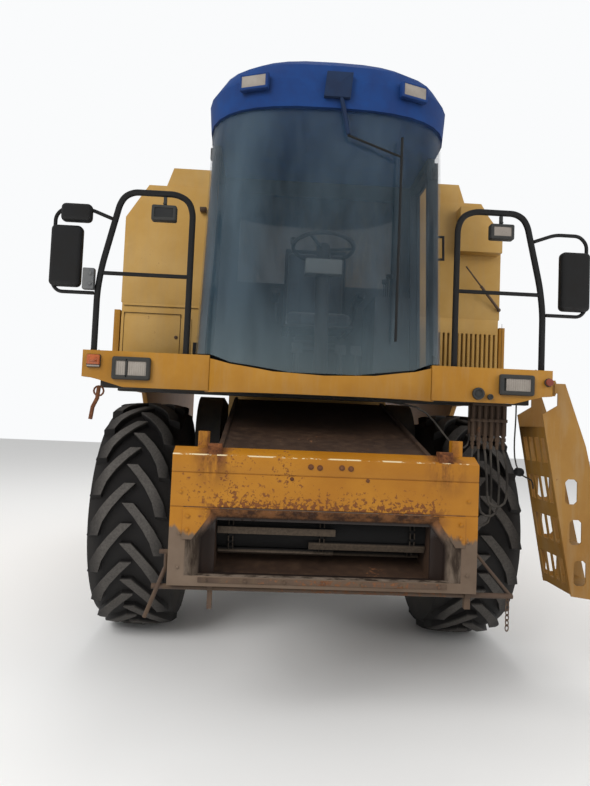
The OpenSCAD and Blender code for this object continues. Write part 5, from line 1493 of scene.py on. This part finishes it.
@dataclass
class BodyTrim:
    """Seams, doors, latches, vents and handles of the sheet-metal body."""

    wall_y: float = -0.436
    shield_x: float = 1.558
    hood_x: float = 0.740
    hood_top: float = 3.440
    latch: tuple[float, float] = (-1.062, 2.300)
    # Along the machine and up: each shield's pulls, seams' feet, bolts and reflectors
    pulls: Pairs = ((0.200, 1.960), (1.350, 1.175), (2.450, 1.175), (3.700, 1.660))
    seam_feet: Pairs = ((1.250, 1.060), (2.900, 1.560))
    shield_bolts: tuple[float, ...] = (0.300, 1.100, 2.000, 3.000, 3.900)
    reflectors: Pairs = ((-0.330, 1.960), (4.440, 1.700))
    screen_centre: Point = (-1.5535, 2.700, 3.000)
    screen_size: float = 0.780
    screen_cells: int = 44
    # The rear wall's foot and head, along the machine and up
    rear_face: tuple[tuple[float, float], tuple[float, float]] = ((6.050, 1.850), (5.700, 2.600))

    def frame_line(
            self, name: str, low: tuple[float, float], high: tuple[float, float], wide: float = 0.007) -> Piece:
        """Models the dark gap round a door in the front wall, as one rounded frame.

        Args:
            name: The piece's name.
            low: Lowest corner of the frame, across and up.
            high: Highest corner of the frame.
            wide: Width of the gap.

        Returns:
            The frame.
        """
        made = Bench.block(
            name, place(low[0], self.wall_y - 0.0015, low[1]), place(high[0], self.wall_y + 0.0005, high[1]))
        Bench.pick(made, lambda middle, normal: abs(normal.y) > 0.9)
        bpy.ops.mesh.inset(thickness=wide)
        bpy.ops.mesh.delete(type="FACE")
        Bench.close()
        return made

    def front_wall(self) -> None:
        """Draws the front wall's door, seams and vent, and puts on its latch, bracket and stay."""
        group = [self.frame_line("door_gap", (-1.472, 2.110), (-1.030, 2.482), 0.0045)]
        for low, high in (((-1.478, 2.532), (-0.900, 2.537)), ((1.520, 2.150), (1.523, 2.530))):
            group.append(Bench.block(
                "seam", place(low[0], self.wall_y - 0.002, low[1]), place(high[0], self.wall_y, high[1]), 0.0006))
        backing = Bench.block("vent_backing", place(0.985, -0.408, 2.125), place(1.470, -0.404, 2.560))
        Bench.finish(Bench.recess(backing, FRONT, 0.004, 0.001), VENT_BROWN, "pale_yellow_paint")
        Bench.finish(Bench.join("front_wall_gaps", group), GAP_BROWN, "black_plastic")
        fittings = []
        x, z = self.latch
        fittings.append(Bench.disc(
            "quarter_turn", place(x, self.wall_y, z), place(x, self.wall_y - 0.006, z), 0.014, 20, 0.002))
        fittings.append(Bench.block(
            "turn_slot", place(x - 0.009, self.wall_y - 0.009, z - 0.002),
            place(x + 0.009, self.wall_y - 0.005, z + 0.002), 0.0008))
        fittings.append(Bench.wedge(
            "hose_bracket", place(-0.920, self.wall_y - 0.050, 3.300), place(-0.870, self.wall_y, 3.330),
            [(place(-0.900, self.wall_y - 0.050, 3.315), Vector((0.0, -0.8, -0.6)))], 0.002))
        foot, head = place(1.488, self.wall_y - 0.014, 2.640), place(1.180, -0.555, 2.950)
        fittings.append(Bench.disc("stay_tube", foot, foot + (head - foot) * 0.55, 0.011, 16, 0.002))
        fittings.append(Bench.disc("stay_rod", foot + (head - foot) * 0.5, head, 0.006, 12, 0.001))
        fittings.append(Bench.bolt("stay_eye", foot + Vector((0.0, 0.004, 0.0)), FRONT, 0.020))
        Bench.finish(Bench.join("front_wall_fittings", fittings), BARE_STEEL, "worn_steel")

    def side_shields(self) -> None:
        """Fits each side shield with recessed pulls, key locks, bolts, seams and reflectors."""
        for side, label in ((1, "left"), (-1, "right")):
            out = LEFT * side
            face = self.shield_x * side
            pulls, gaps = [], []
            for y, z in self.pulls:
                cup = Bench.block(
                    "pull_cup", place(min(face, face - 0.004 * side), y - 0.070, z - 0.025),
                    place(max(face, face - 0.004 * side), y + 0.070, z + 0.025))
                cup.data.transform(Matrix.Translation(out * 0.003))
                Bench.recess(cup, out, 0.010, 0.004)
                pulls.append(cup)
                pulls.append(Bench.disc(
                    "key_lock", place(face, y + 0.100, z), place(face + 0.006 * side, y + 0.100, z), 0.012, 18,
                    0.002))
            for y, z in self.seam_feet:
                low, high = sorted((face - 0.001 * side, face + 0.0015 * side))
                gaps.append(Bench.block(
                    "shield_seam", place(low, y - 0.003, z), place(high, y + 0.003, 2.490), 0.0005))
            for y in self.shield_bolts:
                pulls.append(Bench.bolt("shield_bolt", place(face, y, 2.480), out, 0.014))
            Bench.finish(Bench.join("shield_pulls_" + label, pulls), PLASTIC, "black_plastic", "side_shield_" + label)
            Bench.finish(Bench.join("shield_seams_" + label, gaps), RUBBER, "black_plastic", "side_shield_" + label)
            glow = []
            for y, z in self.reflectors:
                low, high = sorted((face - 0.001 * side, face + 0.006 * side))
                glow.append(Bench.block(
                    "side_reflector", place(low, y - 0.045, z - 0.020), place(high, y + 0.045, z + 0.020), 0.002))
            Bench.finish(
                Bench.join("side_reflectors_" + label, glow), LENS_AMBER, "lamp_glass", "side_shield_" + label)

    def screen(self) -> None:
        """Puts a wire mesh, a hub and six spokes into the rotary screen."""
        centre = place(*self.screen_centre)
        Bench.clear()
        bpy.ops.mesh.primitive_grid_add(
            x_subdivisions=self.screen_cells, y_subdivisions=self.screen_cells, size=self.screen_size,
            location=centre, rotation=(0.0, math.radians(90), 0.0))
        mesh = bpy.context.object
        bpy.ops.object.transform_apply()
        Bench.pick(mesh, lambda middle, normal: (middle - centre).length > 0.386)
        bpy.ops.mesh.delete(type="FACE")
        Bench.close()
        wire = mesh.modifiers.new("wire", "WIREFRAME")
        wire.thickness, wire.use_even_offset = 0.003, False
        bpy.ops.object.modifier_apply(modifier="wire")
        mesh.name = "screen_mesh"
        Bench.finish(mesh, ZINC, "galvanised_steel", "radiator_screen")
        hub = Bench.disc(
            "screen_hub", centre + Vector((0.004, 0.0, 0.0)), centre - Vector((0.001, 0.0, 0.0)), 0.070, 32, 0.002)
        arms = [hub]
        for i in range(6):
            angle = math.radians(60 * i + 15)
            reach = Vector((0.0, math.cos(angle), math.sin(angle)))
            arms.append(Bench.rod("screen_spoke", [centre + reach * 0.060, centre + reach * 0.384], 0.004, 8))
        Bench.finish(Bench.join("screen_spokes", arms), CHASSIS_GREY, "dark_steel_paint", "radiator_screen")

    def rear_hood(self) -> None:
        """Fits the straw hood with its seams, edge bolts, rear door, door handle and hinges."""
        gaps, fittings = [], []
        for side in (-1, 1):
            low, high = sorted(((self.hood_x - 0.001) * side, (self.hood_x + 0.0015) * side))
            gaps.append(Bench.block("hood_seam", place(low, 5.097, 1.540), place(high, 5.103, 2.780), 0.0005))
            out = LEFT * side
            fittings += [
                Bench.bolt("hood_bolt", place(self.hood_x * side, y, z), out, 0.015)
                for y in (4.960, 5.060, 5.140) for z in (1.620, 1.920, 2.220, 2.520, 2.700)]
        foot, head = place(0.0, *self.rear_face[0]), place(0.0, *self.rear_face[1])
        along = (head - foot).normalized()
        out = Vector((0.0, along.z, -along.y))
        lie = Matrix((Vector((1.0, 0.0, 0.0)), along, out)).transposed().to_4x4()
        middle = Matrix.Translation((foot + head) * 0.5) @ lie
        door = Bench.block("rear_door_gap", Vector((-0.600, -0.330, -0.001)), Vector((0.600, 0.330, 0.0015)))
        Bench.pick(door, lambda centre, normal: abs(normal.z) > 0.9)
        bpy.ops.mesh.inset(thickness=0.007)
        bpy.ops.mesh.delete(type="FACE")
        Bench.close()
        bend = [
            Vector((-0.090, -0.250, 0.0)), Vector((-0.090, -0.250, 0.045)), Vector((0.090, -0.250, 0.045)),
            Vector((0.090, -0.250, 0.0))]
        handle = Bench.rod("rear_door_handle", Bench.rounded(bend, 0.020), 0.007, 12)
        hinges = [
            Bench.disc(
                "rear_door_hinge", Vector((x - 0.050, 0.342, 0.008)), Vector((x + 0.050, 0.342, 0.008)), 0.010, 16,
                0.002) for x in (-0.420, 0.420)]
        for piece in (door, handle, *hinges):
            piece.data.transform(middle)
        gaps.append(door)
        Bench.finish(Bench.join("rear_hood_seams", gaps), GAP_BROWN, "black_plastic")
        Bench.finish(Bench.join("rear_hood_bolts", [*fittings, *hinges]), YELLOW, "yellow_paint")
        Bench.finish(handle, RAIL_BLACK, "black_paint")

    def top_covers(self) -> None:
        """Fits the tank covers' grips and the engine hood's seams and latches."""
        for side, label in ((1, "left"), (-1, "right")):
            grips = []
            for y in (0.250, 1.250):
                bend = [
                    place(0.950 * side, y + along, z)
                    for along, z in ((-0.070, 3.649), (-0.070, 3.690), (0.070, 3.690), (0.070, 3.649))]
                grips.append(Bench.rod("cover_grip", Bench.rounded(bend, 0.018), 0.006, 12))
            Bench.finish(Bench.join("cover_grips_" + label, grips), RAIL_BLACK, "black_paint", "tank_cover_" + label)
        top = self.hood_top
        seams = [
            Bench.block(
                "hood_top_seam", place(-1.350, y - 0.003, top - 0.001), place(1.150, y + 0.003, top + 0.0015), 0.0005)
            for y in (2.500, 3.050)]
        Bench.finish(Bench.join("engine_hood_seams", seams), GAP_BROWN, "black_plastic")
        latches = []
        for x in (-1.000, 0.000, 0.900):
            latches.append(Bench.block(
                "hood_latch", place(x - 0.030, 2.450, top - 0.0005), place(x + 0.030, 2.550, top + 0.012), 0.003))
            latches.append(Bench.block(
                "hood_latch_tab", place(x - 0.012, 2.470, top + 0.010), place(x + 0.012, 2.575, top + 0.020), 0.002))
        Bench.finish(Bench.join("engine_hood_latches", latches), PLASTIC, "black_plastic")

    def build(self) -> None:
        """Builds the body's small parts."""
        self.front_wall()
        self.side_shields()
        self.screen()
        self.rear_hood()
        self.top_covers()
        LOG.info("built the body's trim")


@dataclass
class DeckTrim:
    """The platform's raised tread, hand rails, mirrors, hanging pin and pipe unions."""

    top: float = 2.0665
    rail_y: float = -1.400
    bar_rows: int = 7
    bar_columns: int = 11
    # Across and up: the corners of a hand rail and its bar. Full places: the corners of a mirror's arm
    rail_corners: Pairs = (
        (0.845, 2.0665), (0.845, 2.965), (0.875, 3.040), (0.950, 3.075), (1.215, 3.075), (1.270, 3.047),
        (1.300, 2.995), (1.390, 2.600), (1.410, 2.440), (1.410, 2.0665))
    rail_bend: float = 0.070
    rail_feet: tuple[float, ...] = (-1.410, -0.845, 0.845, 1.410)
    arm_corners: Points = (
        (1.344, -1.400, 2.900), (1.480, -1.405, 2.950), (1.640, -1.405, 2.950), (1.688, -1.405, 2.900),
        (1.688, -1.405, 2.470), (1.650, -1.405, 2.425), (1.430, -1.405, 2.425))
    # Middle of each mirror's glass side, then width, height and depth
    heads: tuple[tuple[float, ...], ...] = (
        (-1.605, -1.455, 2.645, 0.190, 0.380, 0.080), (1.605, -1.455, 2.645, 0.190, 0.380, 0.080),
        (-1.555, -1.450, 2.918, 0.190, 0.115, 0.070))
    silver_margin: float = 0.033
    pin_top: Point = (-1.366, -1.400, 1.850)
    pipe_count: int = 6
    first_pipe: float = 1.050
    pipe_pitch: float = 0.042

    def tread(self) -> None:
        """Lays raised bars on both sides of the platform."""
        group = []
        for side in (-1, 1):
            for row in range(self.bar_rows):
                for col in range(self.bar_columns):
                    x, y = side * (0.900 + 0.052 * col), -1.340 + 0.130 * row
                    lean = 1 if (row + col) % 2 else -1
                    bar = Bench.block(
                        "tread_bar", Vector((-0.015, -0.003, 0.0)), Vector((0.015, 0.003, 0.002)), 0.0008, 1)
                    turn = Matrix.Rotation(math.radians(45 * lean), 4, "Z")
                    bar.data.transform(Matrix.Translation(place(x, y, self.top)) @ turn)
                    group.append(bar)
        Bench.finish(Bench.join("deck_tread", group), CHASSIS_GREY, "dark_steel_paint")

    def tubes(self) -> None:
        """Bends the hand rails from tube, in the place of their straight-sided solids."""
        rails = []
        for side in (-1, 1):
            bend = [place(x * side, self.rail_y, z) for x, z in self.rail_corners]
            rails.append(Bench.rod("rail_tube", Bench.rounded(bend, self.rail_bend), 0.0195, 20))
            rails.append(Bench.rod(
                "rail_bar", [place(0.845 * side, self.rail_y, 2.555), place(1.405 * side, self.rail_y, 2.555)],
                0.0125, 16))
        hand_rails = Bench.finish(Bench.join("rail_tubes", rails), RAIL_BLACK, "black_paint")
        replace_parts(hand_rails, "handrails")

    def mirrors(self) -> None:
        """Builds the mirrors: round-cornered shells, silvered on the driver's side, on bent arms."""
        shells, glasses = [], []
        edge = self.silver_margin
        for x, y, z, wide, high, deep in self.heads:
            shell = Bench.block(
                "mirror_shell", place(x - wide / 2, y, z - high / 2), place(x + wide / 2, y + deep, z + high / 2),
                0.030, 6)
            shells.append(Bench.recess(shell, Vector((0.0, 1.0, 0.0)), 0.006, 0.004))
            glasses.append(Bench.block(
                "mirror_silver", place(x - wide / 2 + edge, y + deep - 0.006, z - high / 2 + edge),
                place(x + wide / 2 - edge, y + deep - 0.001, z + high / 2 - edge), 0.002))
        for side in (-1, 1):
            bend = [place(x * side, y, z) for x, y, z in self.arm_corners]
            shells.append(Bench.rod("mirror_arm", Bench.rounded(bend, 0.040), 0.0115, 16))
        Bench.finish(Bench.join("mirror_silver", glasses), CHROME, "chrome_rod")
        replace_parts(Bench.finish(Bench.join("mirror_shells", shells), RAIL_BLACK, "black_paint"), "mirrors")

    def towing_pin(self) -> None:
        """Hangs a rusted pin and its ring under the platform's right-hand corner."""
        top = place(*self.pin_top)
        bend = [
            top, top + Vector((-0.006, -0.004, -0.075)), top + Vector((-0.030, -0.006, -0.130)),
            top + Vector((-0.042, 0.0, -0.205))]
        pin = Bench.rod("hanging_pin", bend, 0.013, 12)
        turns = [math.radians(i * 30) for i in range(13)]
        ring = Bench.rod(
            "pin_ring", [top + Vector((0.030 * math.sin(a), 0.0, -0.030 - 0.030 * math.cos(a))) for a in turns],
            0.006, 10)
        Bench.finish(Bench.join("hanging_pins", [pin, ring]), RUSTED_STEEL, "worn_steel")

    def rails(self) -> None:
        """Puts foot plates and bolts under the hand rails, and the clamp on the right mirror's arm."""
        group = []
        for x in self.rail_feet:
            group.append(Bench.block(
                "rail_foot", place(x - 0.034, self.rail_y - 0.004, self.top - 0.0004),
                place(x + 0.034, self.rail_y + 0.034, self.top + 0.005), 0.0015))
            for shift in (-0.024, 0.024):
                group.append(Bench.bolt(
                    "foot_bolt", place(x + shift, self.rail_y + 0.024, self.top + 0.005), UP, 0.010))
        Bench.finish(Bench.join("rail_feet", group), RAIL_BLACK, "black_paint")
        clamp = [Bench.block("mirror_clamp", place(-1.495, -1.444, 2.442), place(-1.424, -1.398, 2.574), 0.006)]
        clamp += [Bench.bolt("clamp_bolt", place(-1.445, -1.444, z), FRONT, 0.018) for z in (2.475, 2.540)]
        Bench.finish(Bench.join("mirror_clamps", clamp), ZINC, "galvanised_steel")

    def pipes(self) -> None:
        """Puts unions on the hydraulic pipes and a clamp across them."""
        group = []
        for i in range(self.pipe_count):
            x = self.first_pipe + self.pipe_pitch * i
            group.append(Bench.disc("pipe_union", place(x, -1.182, 1.602), place(x, -1.182, 1.628), 0.0175, 6, 0.002))
            group.append(Bench.disc(
                "pipe_union", place(x, -1.182, 1.632), place(x, -1.182, 1.648), 0.0150, 12, 0.002))
        group.append(Bench.block("pipe_clamp", place(1.028, -1.200, 1.730), place(1.282, -1.172, 1.752), 0.004))
        for i in range(self.pipe_count - 1):
            x = self.first_pipe + self.pipe_pitch * (i + 0.5)
            group.append(Bench.bolt("clamp_bolt", place(x, -1.200, 1.741), FRONT, 0.012))
        Bench.finish(Bench.join("pipe_fittings", group), BARE_STEEL, "worn_steel")

    def build(self) -> None:
        """Builds the platform's small parts."""
        self.tread()
        self.tubes()
        self.mirrors()
        self.towing_pin()
        self.rails()
        self.pipes()
        LOG.info("built the platform's trim")


@dataclass
class Studio:
    """Pale floor, soft lamps and the camera of the one view."""

    eye: Point = (-0.321, -5.187, 1.675)
    yaw: float = 2.499
    pitch: float = 2.781
    roll: float = 2.369
    focal_px: float = 606.84
    frame_px: tuple[int, int] = (590, 786)
    floor_size: float = 60.0
    key_watts: float = 900.0

    def camera(self) -> None:
        """Sets the camera where the photographer stood."""
        a, b, c = (math.radians(v) for v in (self.yaw, self.pitch, self.roll))
        forward = Vector((math.sin(a) * math.cos(b), math.cos(a) * math.cos(b), math.sin(b)))
        right = Vector((math.cos(a), -math.sin(a), 0.0))
        above = right.cross(forward)
        right, above = right * math.cos(c) + above * math.sin(c), above * math.cos(c) - right * math.sin(c)
        spot = place(*self.eye)
        lens = bpy.data.cameras.new("camera")
        lens.sensor_width = 36.0
        lens.lens = self.focal_px * lens.sensor_width / max(self.frame_px)
        lens.clip_start, lens.clip_end = 0.05, 200.0
        eye = bpy.data.objects.new("camera", lens)
        rows = [[right[i], above[i], -forward[i], spot[i]] for i in range(3)] + [[0.0, 0.0, 0.0, 1.0]]
        eye.matrix_world = Matrix(rows)
        bpy.context.scene.collection.objects.link(eye)
        bpy.context.scene.camera = eye

    def floor(self) -> None:
        """Lays the floor, pale to the camera and grey to the light it throws back."""
        Bench.clear()
        bpy.ops.mesh.primitive_plane_add(size=self.floor_size, location=(0.0, 0.0, -0.001))
        ground = bpy.context.object
        ground.name = "studio_floor"
        made = bpy.data.materials.new("studio_floor")
        made.use_nodes = True
        tree = made.node_tree
        tree.nodes.clear()
        path = add_node(tree, "LightPath")
        seen = add_node(
            tree, "Math", {"operation": "MAXIMUM"},
            {0: path.outputs["Is Camera Ray"], 1: path.outputs["Is Glossy Ray"]})
        tone = add_node(tree, "Mix", {"data_type": "RGBA", 6: linear("#B8B6B2"), 7: linear("#F4F3F1")}, {0: seen})
        shader = add_node(tree, "BsdfPrincipled", {"Roughness": 0.9}, {"Base Color": tone})
        add_node(tree, "OutputMaterial", {}, {"Surface": shader})
        ground.data.materials.append(made)

    def sky(self) -> None:
        """Lights the scene all round, and shows white behind the object."""
        world = bpy.data.worlds.new("studio")
        bpy.context.scene.world = world
        world.use_nodes = True
        tree = world.node_tree
        tree.nodes.clear()
        path = add_node(tree, "LightPath")
        seen = add_node(
            tree, "Math", {"operation": "MAXIMUM"},
            {0: path.outputs["Is Camera Ray"], 1: path.outputs["Is Transmission Ray"]})
        strength = add_node(tree, "MapRange", {"To Min": 0.62, "To Max": 1.0}, {"Value": seen})
        glow = add_node(tree, "Background", {"Color": linear("#FAFBFC")}, {"Strength": strength})
        add_node(tree, "OutputWorld", {}, {"Surface": glow})

    def lamp(self, name: str, at: Point, towards: Point, size: float, watts: float) -> None:
        """Hangs one soft square lamp.

        Args:
            name: The lamp's name.
            at: Where it hangs.
            towards: The point that it faces.
            size: Its side, in metres.
            watts: Its power.
        """
        glow = bpy.data.lights.new(name, "AREA")
        glow.shape, glow.size, glow.energy = "SQUARE", size, watts
        holder = bpy.data.objects.new(name, glow)
        holder.location = at
        holder.rotation_euler = (Vector(towards) - Vector(at)).to_track_quat("-Z", "Y").to_euler()
        holder.visible_glossy = False
        bpy.context.scene.collection.objects.link(holder)

    def build(self) -> None:
        """Sets up the floor, the sky and the lamps."""
        self.floor()
        self.sky()
        self.lamp("key", (-7.0, -11.0, 8.5), (0.0, -2.0, 1.8), 6.0, self.key_watts)
        self.lamp("fill", (8.0, -9.0, 5.0), (0.0, -2.0, 1.5), 6.0, self.key_watts * 0.35)
        self.lamp("top", (0.0, 2.0, 12.0), (0.0, 0.5, 0.0), 7.0, self.key_watts * 0.6)
        bpy.context.scene.view_settings.view_transform = "Standard"
        LOG.info("studio is set")


def main() -> None:
    """Builds the studio, then dresses the machine piece by piece."""
    logging.basicConfig(level=logging.INFO, format="%(message)s")
    studio = Studio()
    studio.camera()
    HangingCords().build()
    SolidsDresser().dress()
    LampSet().build()
    DriverSeat().build()
    CabTrim().build()
    WheelTrim().build()
    FeederTrim().build()
    BodyTrim().build()
    DeckTrim().build()
    studio.build()


if __name__ == "__main__":
    main()
